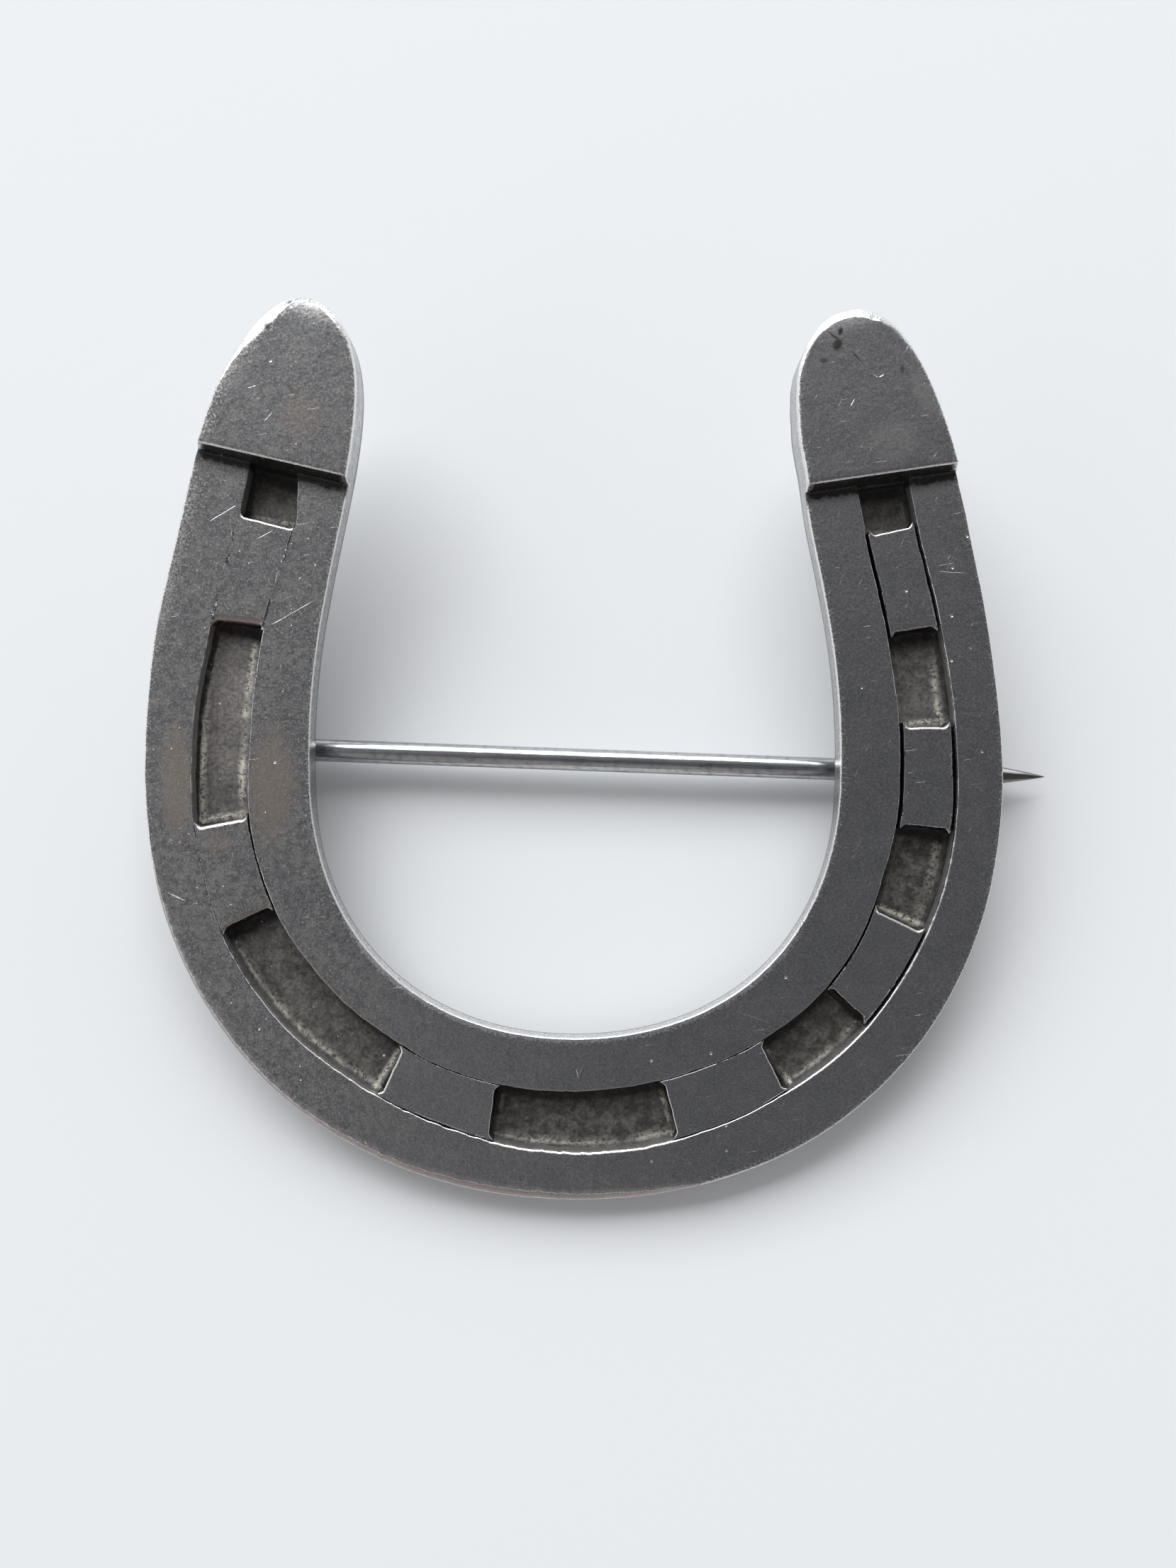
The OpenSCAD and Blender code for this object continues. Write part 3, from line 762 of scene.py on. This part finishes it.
def nail_sides(index):
    """A nail head's outline as four runs of points: outer side, end, inner side, start."""
    start_in, start_out, end_in, end_out, inner_gap, outer_gap, _ = NAIL_HEADS[index]
    cut = NAIL_CORNER_R

    def long_side(start, end, column, gap):
        s = np.linspace(start + cut, end - cut, NAIL_LONG_STEPS)
        uneven = 0.02 * line_wobble(s, column, 0.8, 11 + index, 2)
        uneven = uneven + 0.006 * line_wobble(s, column, 3.3, 31 + index, 2)
        return s, curve(GROOVE_EDGES, column, s) + gap + uneven

    def short_side(s_out, s_in, d_out, d_in, sign):
        """From the outer to the inner side, with corners that reach on along the groove."""
        offset = d_out + (d_in - d_out) * NAIL_CROSS
        s = s_out + (s_in - s_out) * NAIL_CROSS
        reach_on = np.clip(cut - np.minimum(offset - d_in, d_out - offset), 0, cut)
        ragged = 0.03 * line_wobble(offset, s_out, 1.5, 51 + index, 3) * (reach_on < 0.9 * cut)
        return rail(s + sign * (reach_on + ragged), offset)

    # The corners reach back out to the drawn ends
    s_outer, outer = long_side(start_out - 2 * cut, end_out + 2 * cut, 2, -outer_gap)
    s_inner, inner = long_side(start_in - 2 * cut, end_in + 2 * cut, 1, inner_gap)
    end = short_side(end_out, end_in, outer[-1], inner[-1], 1)
    start = short_side(start_out, start_in, outer[0], inner[0], -1)
    return rail(s_outer, outer), end, rail(s_inner, inner)[::-1], start[::-1]


def nail_outline(index):
    """A nail head's outline as one loop, and the rounding, tarnish and wear of its upper edge."""
    start_r, end_r, side_r, start_tint, end_tint, side_wear = NAIL_EDGES[index]
    sides = nail_sides(index)
    start_middle = (sides[3][0] + sides[3][-1]) / 2
    rows = []
    for side, radius, tarnish, is_end in zip(sides, (side_r, end_r, side_r, start_r),
                                             (0, end_tint, 0, start_tint), (False, True, False, True)):
        run = np.concatenate([[0], np.cumsum(np.linalg.norm(np.diff(side, axis=0), axis=1))])
        from_corner = smooth(np.minimum(run, run[-1] - run) / 0.3)
        radii = side_r + (radius - side_r) * from_corner
        # The first head's long sides are sharp where they leave its cap
        if index == 0 and not is_end:
            from_cap = np.linalg.norm(side - start_middle, axis=1)
            radii = radii * (0.25 + 0.75 * rise(from_cap, 1.0, 1.5))
        worn = side_wear + (1 - side_wear) * from_corner * is_end
        rows.append(np.column_stack([side, radii, tarnish * from_corner, worn])[:-1])
    rows = np.concatenate(rows)
    return rows[:, :2], rows[:, 2], rows[:, 3], rows[:, 4]


def fill_outline(points, loop, first, bulge=0.0, seed=0):
    """Points and faces of the flat face inside a nail head's loop."""
    long, cross = NAIL_LONG_STEPS, len(NAIL_CROSS)
    index = np.empty((cross, long), int)
    index[0] = loop[:long]
    index[:, -1] = loop[long - 1:long + cross - 1]
    index[-1] = loop[long + cross - 2:2 * long + cross - 2][::-1]
    index[:, 0] = np.append(loop[2 * long + cross - 3:], loop[0])[::-1]
    index[1:-1, 1:-1] = first + np.arange((cross - 2) * (long - 2)).reshape(cross - 2, long - 2)
    u = np.linspace(0, 1, long)[None, :, None]
    v = NAIL_CROSS[:, None, None]
    a, c = points[index[0]][None], points[index[-1]][None]
    d, b = points[index[:, 0]][:, None], points[index[:, -1]][:, None]
    inside = ((1 - v) * a + v * c + (1 - u) * d + u * b - (1 - u) * (1 - v) * a[:, :1]
              - u * (1 - v) * a[:, -1:] - (1 - u) * v * c[:, :1] - u * v * c[:, -1:])[1:-1, 1:-1]
    inside[..., 2] += bulge * wobble(inside[..., :2], 0.5, seed, 2)
    return inside.reshape(-1, 3), grid_faces(index)


def nail_head_shape(index):
    """One nail head: a block in the groove with softly rounded upper edges."""
    outline, edge_r, tint, worn = nail_outline(index)
    along = np.roll(outline, -1, 0) - np.roll(outline, 1, 0)
    inward = unit(np.stack([-along[:, 1], along[:, 0]], -1))
    top = PLATE_T + NAIL_HEADS[index][-1]
    low = PLATE_T - GROOVE_DEPTH + NAIL_FLOOR_GAP
    none = 0 * edge_r
    rings = [(none + 0.05, none + low), (none, none + low + 0.05), (none, top - edge_r - 0.06),
             (none, top - edge_r)]
    for angle in np.radians([22, 45, 67, 90]):
        rings.append((edge_r * (1 - math.cos(angle)), top - edge_r * (1 - math.sin(angle))))
    rings.append((edge_r + 0.02, none + top))
    points = np.concatenate([np.column_stack([outline + inward * inset[:, None], z]) for inset, z in rings])
    loops = np.arange(len(points)).reshape(len(rings), -1)
    top_points, top_faces = fill_outline(points, loops[-1], len(points), 0.006, 50 + index)
    back_points, back_faces = fill_outline(points, loops[0], len(points) + len(top_points))
    faces = grid_faces(loops, close_columns=True) + top_faces + back_faces
    # The rings below a head's face take patina and painted shade, which darkens the gaps beside it
    below = loops.ravel() < loops[3, 0]
    masks = {"wear": (NAIL_RING_WEAR[:, None] * worn * (1 - tint)).ravel(),
             "tint": (NAIL_RING_TARNISH[:, None] * tint).ravel(), "recess": below, "shade": 1.3 * below}
    flat = np.zeros(len(top_points) + len(back_points))
    masks = {key: np.append(values, flat) for key, values in masks.items()}
    return np.concatenate([points, top_points, back_points]), faces, masks


def loft(rings, closed=False):
    """Points and quads of a tube through rings of equal size, with fans at open ends."""
    rings = np.asarray(rings, float)
    count, size = rings.shape[:2]
    index = np.arange(count * size).reshape(count, size)
    faces = grid_faces(index, close_rows=closed, close_columns=True)
    points = rings.reshape(-1, 3)
    if not closed:
        points = np.vstack([points, rings[0].mean(0), rings[-1].mean(0)])
        for i in range(size):
            k = (i + 1) % size
            faces.append([count * size, int(index[0, i]), int(index[0, k])])
            faces.append([count * size + 1, int(index[-1, k]), int(index[-1, i])])
    return points, faces


def turned(profile, sides):
    """A shape turned round the X axis from a profile of [x, radius]."""
    angle = np.linspace(0, 2 * math.pi, sides, endpoint=False)
    return loft([np.stack([np.full(sides, x), r * np.cos(angle), r * np.sin(angle)], -1) for x, r in profile])


def join(*parts):
    """Several meshes as one."""
    points, faces, first = [], [], 0
    for part_points, part_faces in parts:
        points.append(part_points)
        faces += [[i + first for i in face] for face in part_faces]
        first += len(part_points)
    return np.concatenate(points), faces


def rounded_loop(half_x, half_y, corner, radius_x, radius_y, steps):
    """A rectangle's outline with arcs round middles that lie a corner's size in from its sides."""
    loop = []
    for sx, sy, start in ((1, 1, 0), (-1, 1, 90), (-1, -1, 180), (1, -1, 270)):
        for angle in np.radians(np.linspace(start, start + 90, steps)):
            loop.append([sx * (half_x - corner) + radius_x * math.cos(angle),
                         sy * (half_y - corner) + radius_y * math.sin(angle)])
    return np.array(loop)


def eye_prism(out, bore_r, middle, width):
    """A prism along Y with a round bore and broken edges; out is its radius at the angles in XZ."""
    c = EYE_CHAMFER
    profile = [(bore_r, c), (bore_r + 0.3 * c, 0.3 * c), (bore_r + c, 0.0), (out - c, 0.0),
               (out - 0.3 * c, 0.3 * c), (out, c)]
    rings = []
    for end, steps in ((-1, profile), (1, profile[::-1])):
        for radius, inset in steps:
            y = np.full(len(EYE_ANGLES), middle + end * (width / 2 - inset))
            rings.append(np.stack([np.cos(EYE_ANGLES) * radius, y, np.sin(EYE_ANGLES) * radius], -1))
    return loft(rings, closed=True)


def keyhole(radius, height):
    """Radii of a round knuckle with straight flanks up to the base it stands on."""
    c, s = np.abs(np.cos(EYE_ANGLES)), np.sin(EYE_ANGLES)
    flanks = np.minimum(radius / np.maximum(c, 1e-6), height / np.maximum(s, 1e-6))
    return np.where(s > 0, flanks, radius)


def seat_base():
    """The hinge's base, with rounded edges on its free side and rounded upright corners."""
    low, bevel = PIN_BACK - BASE_T, BASE_BEVEL
    rings = []
    steps = ((0.0, PIN_BACK + 0.05), (0.0, low + bevel), (0.3 * bevel, low + 0.3 * bevel), (bevel, low))
    for inset, z in steps:
        r = BASE_CORNER - inset
        loop = rounded_loop(BASE_X / 2, BASE_Y / 2, BASE_CORNER, r, r, 8)
        rings.append(np.column_stack([loop, np.full(len(loop), z)]))
    return loft(rings)


def hinge_seat_shape():
    """The hinge's base and its two fixed knuckles."""
    ear = (HINGE_LEN - PIN_KNUCKLE_W - 2 * KNUCKLE_GAP) / 2
    outline = keyhole(KNUCKLE_R, PIN_BACK - BASE_T / 2)
    ears = [eye_prism(outline, SEAT_BORE_R, end * (HINGE_LEN - ear) / 2, ear) for end in (-1, 1)]
    return join(seat_base(), *ears)


def hook_path():
    """Middle line of the hook's strip across the pin, from its foot to its lip: [across, height]."""
    foot_h = PIN_BACK - HOOK_HALF_T
    path = [[HOOK_MID_R + 1.9, foot_h], [HOOK_MID_R + 1.2, foot_h]]
    for angle in np.radians(np.linspace(90, 180, 7)):
        across = HOOK_MID_R + HOOK_BEND * (1 + math.cos(angle))
        path.append([across, foot_h - HOOK_BEND * (1 - math.sin(angle))])
    path.append([HOOK_MID_R, 0.5])
    for angle in np.radians(np.linspace(0, -204, 36)):
        path.append([HOOK_MID_R * math.cos(angle), HOOK_MID_R * math.sin(angle)])
    return np.array(path)


def hook_shape():
    """The hook: a strip with rounded edges, bent round the pin, with a thinned and narrowed lip."""
    path = hook_path()
    along = unit(np.gradient(path, axis=0))
    across = np.stack([-along[:, 1], along[:, 0]], -1)
    rings = []
    last = len(path) - 1
    for i, (point, side) in enumerate(zip(path, across)):
        shrink = {0: 0.55, 1: 0.88}.get(min(i, last - i), 1.0)
        half_w = HOOK_W / 2 * (0.94 if i == last else 1.0) * (0.97 + 0.03 * shrink)
        half_t = HOOK_HALF_T * (shrink if i > (last + 1) / 2 else 1.0)
        loop = rounded_loop(half_w, half_t, HOOK_CORNER, HOOK_CORNER, min(HOOK_CORNER, half_t), 5)
        rings.append(np.column_stack([HOOK_REACH + loop[:, 0], point + side * loop[:, 1:]]))
    return loft(rings)


def rivet_shape():
    """The rivet, with both ends peened to low domes."""
    half = HINGE_LEN / 2 + 0.05
    dome = [[-half, 0.08], [-half + 0.01, 0.25], [-half + 0.05, 0.4], [-half + 0.12, RIVET_R]]
    points, faces = turned(dome + [[-x, r] for x, r in reversed(dome)], 48)
    return points[:, [1, 0, 2]] * [1, 1, -1], faces


def pin_shape():
    """The pin's wire from inside its knuckle to its point, and the knuckle."""
    profile = [[PIN_BORE_R + 0.12, ROOT_R - 0.02], [1.2, ROOT_R], [2.2, ROOT_R - 0.005]]
    taper_start = ROOT_LEN - ROOT_HALF_TAPER
    for x in np.linspace(taper_start, ROOT_LEN + ROOT_HALF_TAPER, 5):
        profile.append([x, PIN_R + (ROOT_R - PIN_R) * (1 - rise(x, taper_start, 2 * ROOT_HALF_TAPER))])
    profile += [[x, PIN_R] for x in np.linspace(6, NECK_START, 24)]
    for t in np.linspace(0, 1, 12)[1:]:
        x = NECK_START + (PIN_LEN - POINT_LEN - NECK_START) * t
        profile.append([x, PIN_R + (NECK_R - PIN_R) * smooth(t)])
    for t in np.sin(np.linspace(0, math.pi / 2, 28))[1:-1]:
        profile.append([PIN_LEN - POINT_LEN * (1 - t), NECK_R * (1 - t) ** 0.8])
    profile.append([PIN_LEN - 0.01, 0.02])
    return join(turned(profile, 64), eye_prism(PIN_KNUCKLE_R, PIN_BORE_R, 0, PIN_KNUCKLE_W))


def node(tree, kind, inputs=None, **settings):
    """Adds a shader node. An input is a value or another node's socket."""
    made = tree.nodes.new("ShaderNode" + kind)
    for key, value in settings.items():
        setattr(made, key, value)
    for key, value in (inputs or {}).items():
        if isinstance(value, bpy.types.NodeSocket):
            tree.links.new(value, made.inputs[key])
        else:
            made.inputs[key].default_value = value
    return made


def calculate(tree, operation, values, clamp=False):
    """Joins values one after the other."""
    total = values[0]
    for value in values[1:]:
        total = node(tree, "Math", {0: total, 1: value}, operation=operation, use_clamp=clamp).outputs[0]
    return total


def times(tree, *values, clamp=False):
    return calculate(tree, "MULTIPLY", values, clamp)


def plus(tree, *values, clamp=False):
    return calculate(tree, "ADD", values, clamp)


def minus(tree, *values):
    return calculate(tree, "SUBTRACT", values)


def most(tree, *values):
    return calculate(tree, "MAXIMUM", values)


def ramp(tree, value, low, high, out_low=0.0, out_high=1.0):
    made = node(tree, "MapRange", {"Value": value, "From Min": low, "From Max": high, "To Min": out_low,
                                   "To Max": out_high}, clamp=True, interpolation_type="SMOOTHSTEP")
    return made.outputs["Result"]


def mix_colour(tree, share, a, b, blend="MIX"):
    return node(tree, "Mix", {"Factor": share, 6: a, 7: b}, data_type="RGBA", blend_type=blend).outputs[2]


def towards(tree, direction, target):
    """Cosine of the angle between a direction and a fixed one."""
    return node(tree, "VectorMath", {0: direction, 1: target}, operation="DOT_PRODUCT").outputs["Value"]


def local_point(tree, place):
    """The point in a piece's own millimetres, as it was drawn."""
    back = place.inverted()
    return node(tree, "Mapping", {
        "Vector": node(tree, "TexCoord").outputs["Object"],
        "Location": back.translation / MM,
        "Rotation": back.to_euler(),
        "Scale": (1 / MM, 1 / MM, 1 / MM),
    }, vector_type="POINT").outputs["Vector"]


def stretched(tree, point, centre, angle, size):
    """The point as seen from a centre, turned and measured in sizes of its own along each axis."""
    return node(tree, "Mapping", {"Vector": point, "Location": centre, "Rotation": (0, 0, angle),
                                  "Scale": size}, vector_type="TEXTURE").outputs["Vector"]


def noise_value(tree, point, scale, detail, roughness):
    return node(tree, "TexNoise", {"Vector": point, "Scale": scale, "Detail": detail,
                                   "Roughness": roughness}).outputs["Fac"]


def streaks(tree, point, degrees, length, width, low, high):
    """Sparse fine scratches in one direction, 1 in a scratch."""
    centre = (0.7 * degrees, 0.3 * degrees, 0)
    line = stretched(tree, point, centre, math.radians(degrees), (length, width, length))
    return ramp(tree, noise_value(tree, line, 1.0, 2.0, 0.4), low, high)


def specks(tree, point, per_mm, size, share):
    """Small round dots in a share of the cells of a pattern, 1 in a dot."""
    cells = node(tree, "TexVoronoi", {"Vector": point, "Scale": per_mm}, feature="F1")
    dot = ramp(tree, cells.outputs["Distance"], size, 0.5 * size)
    chosen = node(tree, "SeparateColor", {"Color": cells.outputs["Color"]}).outputs["Red"]
    return times(tree, dot, calculate(tree, "LESS_THAN", (chosen, share)))


def spot(tree, point, centre, angle, size):
    """A soft oval spot, 1 in its middle."""
    near = stretched(tree, point, centre, angle, size)
    strength = node(tree, "TexGradient", {"Vector": near}, gradient_type="SPHERICAL").outputs["Fac"]
    return ramp(tree, strength, 0.0, 0.6)


def marks(tree, point, table, depth):
    """The strongest of several single marks at each place."""
    spots = []
    for x0, y0, x1, y1, z, width, strength in table:
        centre = ((x0 + x1) / 2, (y0 + y1) / 2, z)
        length = math.hypot(x1 - x0, y1 - y0) / 2
        one = spot(tree, point, centre, math.atan2(y1 - y0, x1 - x0), (length, width, depth))
        spots.append(times(tree, one, strength))
    return most(tree, *spots)


def new_material(name):
    material = bpy.data.materials.new(name)
    material.use_nodes = True
    tree = material.node_tree
    return material, tree, tree.nodes["Principled BSDF"]


def finish_surface(tree, shader, colour, rough, height, depth):
    """Joins colour, roughness and bump to a metal's shader."""
    bump = node(tree, "Bump", {"Height": height, "Strength": 1.0, "Distance": depth * MM})
    tree.links.new(colour, shader.inputs["Base Color"])
    tree.links.new(rough, shader.inputs["Roughness"])
    tree.links.new(bump.outputs["Normal"], shader.inputs["Normal"])


def face_colour(tree, point, left_side, mottle, grain, tint):
    """The rubbed face: cloudy greys, dusty flecks on the left, warm and pale patches, tarnished bevel."""
    cloud = noise_value(tree, point, 0.75, 4.0, 0.6)
    tone = ramp(tree, cloud, 0.38, 0.62, ramp(tree, left_side, 0.0, 1.0, 0.28, 0.20),
                ramp(tree, left_side, 0.0, 1.0, 0.55, 0.72))
    colour = mix_colour(tree, tone, FACE_DARK, FACE_LIGHT)
    mottled = times(tree, ramp(tree, mottle, 0.38, 0.62), ramp(tree, left_side, 0.0, 1.0, 0.5, 1.0))
    colour = mix_colour(tree, mottled, colour, FACE_MOTTLE)
    colour = mix_colour(tree, ramp(tree, grain, 0.42, 0.64, 0.0, 0.45), colour, FACE_GRAIN)
    height = node(tree, "SeparateXYZ", {"Vector": point}).outputs["Z"]
    on_cap = ramp(tree, height, 2.1, 2.5, 1.0, 0.35)
    dust = times(tree, ramp(tree, grain, 0.53, 0.68, 0.0, 0.75), left_side, on_cap)
    colour = mix_colour(tree, dust, colour, DUSTY)
    colour = mix_colour(tree, times(tree, marks(tree, point, WARM_PATCHES, 2.0), 0.65), colour, WARM_TARNISH)
    colour = mix_colour(tree, marks(tree, point, PALE_PATCHES, 1.2), colour, FACE_PALE)
    return mix_colour(tree, times(tree, tint, 0.8), colour, BEVEL_TARNISH)


def patina_colour(tree, point, grit, pale, crumb, shade):
    """The recesses: dark blotchy floors with crumbs of old polish, darkest under painted shade."""
    blotch = ramp(tree, noise_value(tree, point, 1.4, 4.0, 0.66), 0.38, 0.62)
    colour = mix_colour(tree, blotch, FLOOR_DARK, FLOOR_LIGHT)
    colour = mix_colour(tree, pale, colour, FLOOR_PALE)
    colour = mix_colour(tree, 1.0, colour, ramp(tree, grit, 0.38, 0.62, 0.70, 1.36), "MULTIPLY")
    colour = mix_colour(tree, times(tree, crumb, ramp(tree, grit, 0.41, 0.52)), colour, CRUMB)
    return mix_colour(tree, shade, colour, SHADE)


def fine_scratches(tree, point):
    """Faint scratches in three directions and the single clear ones."""
    scratch = streaks(tree, point, 8, 1.5, 0.028, 0.72, 0.84)
    for degrees in (-38, 64):
        scratch = most(tree, scratch, streaks(tree, point, degrees, 1.2, 0.026, 0.73, 0.85))
    return most(tree, times(tree, scratch, 0.3), marks(tree, point, SCRATCHES, 0.4))


def silver_material():
    """Worn silver: satin grey with fine scratches, dull dark patina in recesses, painted shade in corners,
    gaps and under the caps, and bright rubbed edges.
    """
    material, tree, shader = new_material("worn_silver")
    point = local_point(tree, SHOE)
    wear, recess, shade, tint, crumb, pale = (
        node(tree, "Attribute", attribute_name=key).outputs["Fac"]
        for key in ("wear", "recess", "shade", "tint", "crumb", "pale"))
    mottle = noise_value(tree, point, 2.6, 4.0, 0.7)
    grain = noise_value(tree, point, 9.0, 4.0, 0.75)
    grit = noise_value(tree, point, 5.0, 4.0, 0.8)
    left_side = ramp(tree, node(tree, "SeparateXYZ", {"Vector": point}).outputs["X"], -8.0, -15.0)
    scratch = fine_scratches(tree, point)
    nick = most(tree, specks(tree, point, 1.2, 0.11, 0.10),
                times(tree, left_side, specks(tree, point, 2.1, 0.10, 0.12)))
    # Painted shade, broken up by the mottle, joins the recesses' patina in the dull dark mix
    shade = times(tree, shade, ramp(tree, mottle, 0.36, 0.62, 1.0, 0.6), clamp=True)
    dull = most(tree, recess, shade)
    rubbed = ramp(tree, plus(tree, wear, ramp(tree, grain, 0.3, 0.7, -0.45, 0.45)), 0.35, 0.7)
    bright = most(tree, rubbed, scratch, nick)
    dark_specks = times(tree, specks(tree, point, 1.3, 0.09, 0.12), 0.6)
    stain = most(tree, marks(tree, point, STAINS, 0.6), dark_specks)

    colour = face_colour(tree, point, left_side, mottle, grain, tint)
    colour = mix_colour(tree, dull, colour, patina_colour(tree, point, grit, pale, crumb, shade))
    colour = mix_colour(tree, bright, colour, RUBBED)
    colour = mix_colour(tree, stain, colour, STAIN)
    metallic = most(tree, minus(tree, 1.0, times(tree, dull, 0.75)), bright)
    tree.links.new(metallic, shader.inputs["Metallic"])

    rough = plus(tree, ramp(tree, grain, 0.25, 0.75, 0.21, 0.31), ramp(tree, mottle, 0.3, 0.7, 0.0, 0.06))
    rough = plus(tree, rough, times(tree, recess, 0.34), clamp=True)
    pits = plus(tree, times(tree, recess, 1.6), times(tree, crumb, 6.0))
    height = plus(tree, times(tree, grain, 0.45), times(tree, mottle, 3.4), times(tree, grit, pits))
    height = minus(tree, height, times(tree, scratch, 2.0), times(tree, nick, 3.0))
    finish_surface(tree, shader, colour, rough, height, 0.006)
    return material


def point_painted_reflection(tree, along):
    """The pin's point, coloured by the way its surface faces across the pin: a painted reflection of the
    room.
    """
    normal = node(tree, "TexCoord").outputs["Normal"]
    facing = towards(tree, normal, PIN_LINE.to_3x3() @ Vector((0, 1, 0)))
    before_tip = ramp(tree, along, PIN_LEN - 2.0, PIN_LEN - 0.9, 1.0, 0.3)
    # Painted highlight on the side that faces up across the pin, fading before the tip
    bright = times(tree, ramp(tree, facing, 0.20, 0.40), before_tip)
    colour = mix_colour(tree, ramp(tree, facing, -0.35, -0.90), POINT_REFLECTED_DARK, POINT_REFLECTED_LOW)
    colour = mix_colour(tree, bright, colour, POINT_PAINTED_HIGHLIGHT)
    return mix_colour(tree, ramp(tree, facing, 0.74, 0.88), colour, POINT_REFLECTED_DARK)


def pin_material():
    """Polished white metal wire with fine marks along it."""
    material, tree, shader = new_material("pin_metal")
    shader.inputs["Metallic"].default_value = 1.0
    point = local_point(tree, PIN_LINE)
    drawn = stretched(tree, point, (0, 0, 0), 0, (8.0, 0.33, 0.33))
    lines = noise_value(tree, drawn, 4.0, 4.0, 0.6)
    dull = ramp(tree, noise_value(tree, point, 2.2, 5.0, 0.6), 0.42, 0.72)
    along = node(tree, "SeparateXYZ", {"Vector": point}).outputs["X"]
    on_point = ramp(tree, along, PIN_LEN - 4.4, PIN_LEN - 2.6, 0.0, 0.9)
    colour = mix_colour(tree, dull, WIRE, WIRE_DULL)
    # Near its point the wire takes the painted reflection
    colour = mix_colour(tree, on_point, colour, point_painted_reflection(tree, along))
    rough = plus(tree, ramp(tree, lines, 0.3, 0.7, 0.12, 0.24), times(tree, dull, 0.08))
    finish_surface(tree, shader, colour, rough, lines, 0.005)
    return material


def add_object(name, data):
    made = bpy.data.objects.new(name, data)
    bpy.context.scene.collection.objects.link(made)
    return made


def add_camera():
    data = bpy.data.cameras.new("camera")
    data.sensor_fit = "HORIZONTAL"
    data.sensor_width = 36
    data.lens = data.sensor_width * FOCAL_PX / PHOTO_WIDTH_PX
    data.clip_start = 0.005
    data.clip_end = 20
    data.dof.use_dof = False
    camera = add_object("camera", data)
    camera.matrix_world = SHOE @ Matrix.Translation(MM * Vector(CAMERA_POINT))
    bpy.context.scene.camera = camera


def add_floor():
    material, _, shader = new_material("pale_floor")
    shader.inputs["Base Color"].default_value = FLOOR_COLOUR
    shader.inputs["Roughness"].default_value = 0.8
    shader.inputs["Specular IOR Level"].default_value = 0.2
    mesh = bpy.data.meshes.new("floor")
    corners = [(x * FLOOR_HALF, y * FLOOR_HALF, 0) for x, y in ((-1, -1), (1, -1), (1, 1), (-1, 1))]
    mesh.from_pydata(corners, [], [(0, 1, 2, 3)])
    mesh.materials.append(material)
    add_object("floor", mesh)


def add_window():
    """One large soft light low on the heel side."""
    data = bpy.data.lights.new("window", "AREA")
    data.shape = "RECTANGLE"
    data.size = WINDOW_W
    data.size_y = WINDOW_H
    data.energy = WINDOW_POWER
    data.color = WINDOW_COLOUR
    level = math.cos(WINDOW_ELEVATION)
    place = WINDOW_DISTANCE * Vector((-level * math.sin(WINDOW_AZIMUTH), level * math.cos(WINDOW_AZIMUTH),
                                      math.sin(WINDOW_ELEVATION)))
    window = add_object("window", data)
    window.location = place
    window.rotation_euler = (-place).to_track_quat("-Z", "Y").to_euler()


def add_room():
    """A room that is bright on its sides and dim overhead."""
    world = bpy.data.worlds.new("room")
    bpy.context.scene.world = world
    world.use_nodes = True
    tree = world.node_tree
    direction = node(tree, "TexCoord").outputs["Generated"]
    x, y, z = node(tree, "SeparateXYZ", {"Vector": direction}).outputs
    side = mix_colour(tree, ramp(tree, y, -0.6, 0.5), ROOM_TOE_SIDE, ROOM_HEEL_SIDE)
    side = mix_colour(tree, ramp(tree, x, -0.40, -0.85), side, ROOM_WEST)
    overhead = mix_colour(tree, ramp(tree, y, -0.1, 0.2), ROOM_CEILING, ROOM_CEILING_HEEL)
    to_dark = towards(tree, direction, DARK_OVERHEAD)
    overhead = mix_colour(tree, ramp(tree, to_dark, 0.90, 0.955), overhead, ROOM_DARK)
    to_east = towards(tree, direction, DARK_EAST)
    overhead = mix_colour(tree, ramp(tree, to_east, 0.978, 0.993), overhead, ROOM_DARKEST)
    colour = mix_colour(tree, ramp(tree, z, 0.3, 0.8), side, overhead)
    tree.links.new(colour, tree.nodes["Background"].inputs["Color"])


def add_shoe(silver):
    shoe = add_piece("shoe", *shoe_shape(), SHOE, silver, "worn_silver", "shoe")
    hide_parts("horseshoe")


def add_nail_heads(silver):
    for index in range(len(NAIL_HEADS)):
        name = f"nail_head_{index + 1}"
        head = add_piece(name + "_worn", *nail_head_shape(index), SHOE, silver, "nail_silver", "shoe")
        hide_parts(name)


def add_fittings(silver, metal):
    add_piece("hinge_seat", *hinge_seat_shape(), {}, PIN_LINE, silver, "worn_silver", "shoe")
    add_piece("hook", *hook_shape(), {}, PIN_LINE, silver, "worn_silver", "shoe")
    rivet = add_piece("peened_rivet", *rivet_shape(), {}, PIN_LINE, metal, "pin_metal", "shoe")
    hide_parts("hinge_rivet")
    pin = add_piece("turned_pin", *pin_shape(), {}, PIN_LINE, metal, "pin_metal", "pin_body")
    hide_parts("pin")


add_camera()
add_floor()
add_window()
add_room()
worn_silver = silver_material()
pin_metal = pin_material()
add_shoe(worn_silver)
add_nail_heads(worn_silver)
add_fittings(worn_silver, pin_metal)
bpy.context.scene.view_settings.view_transform = "Standard"
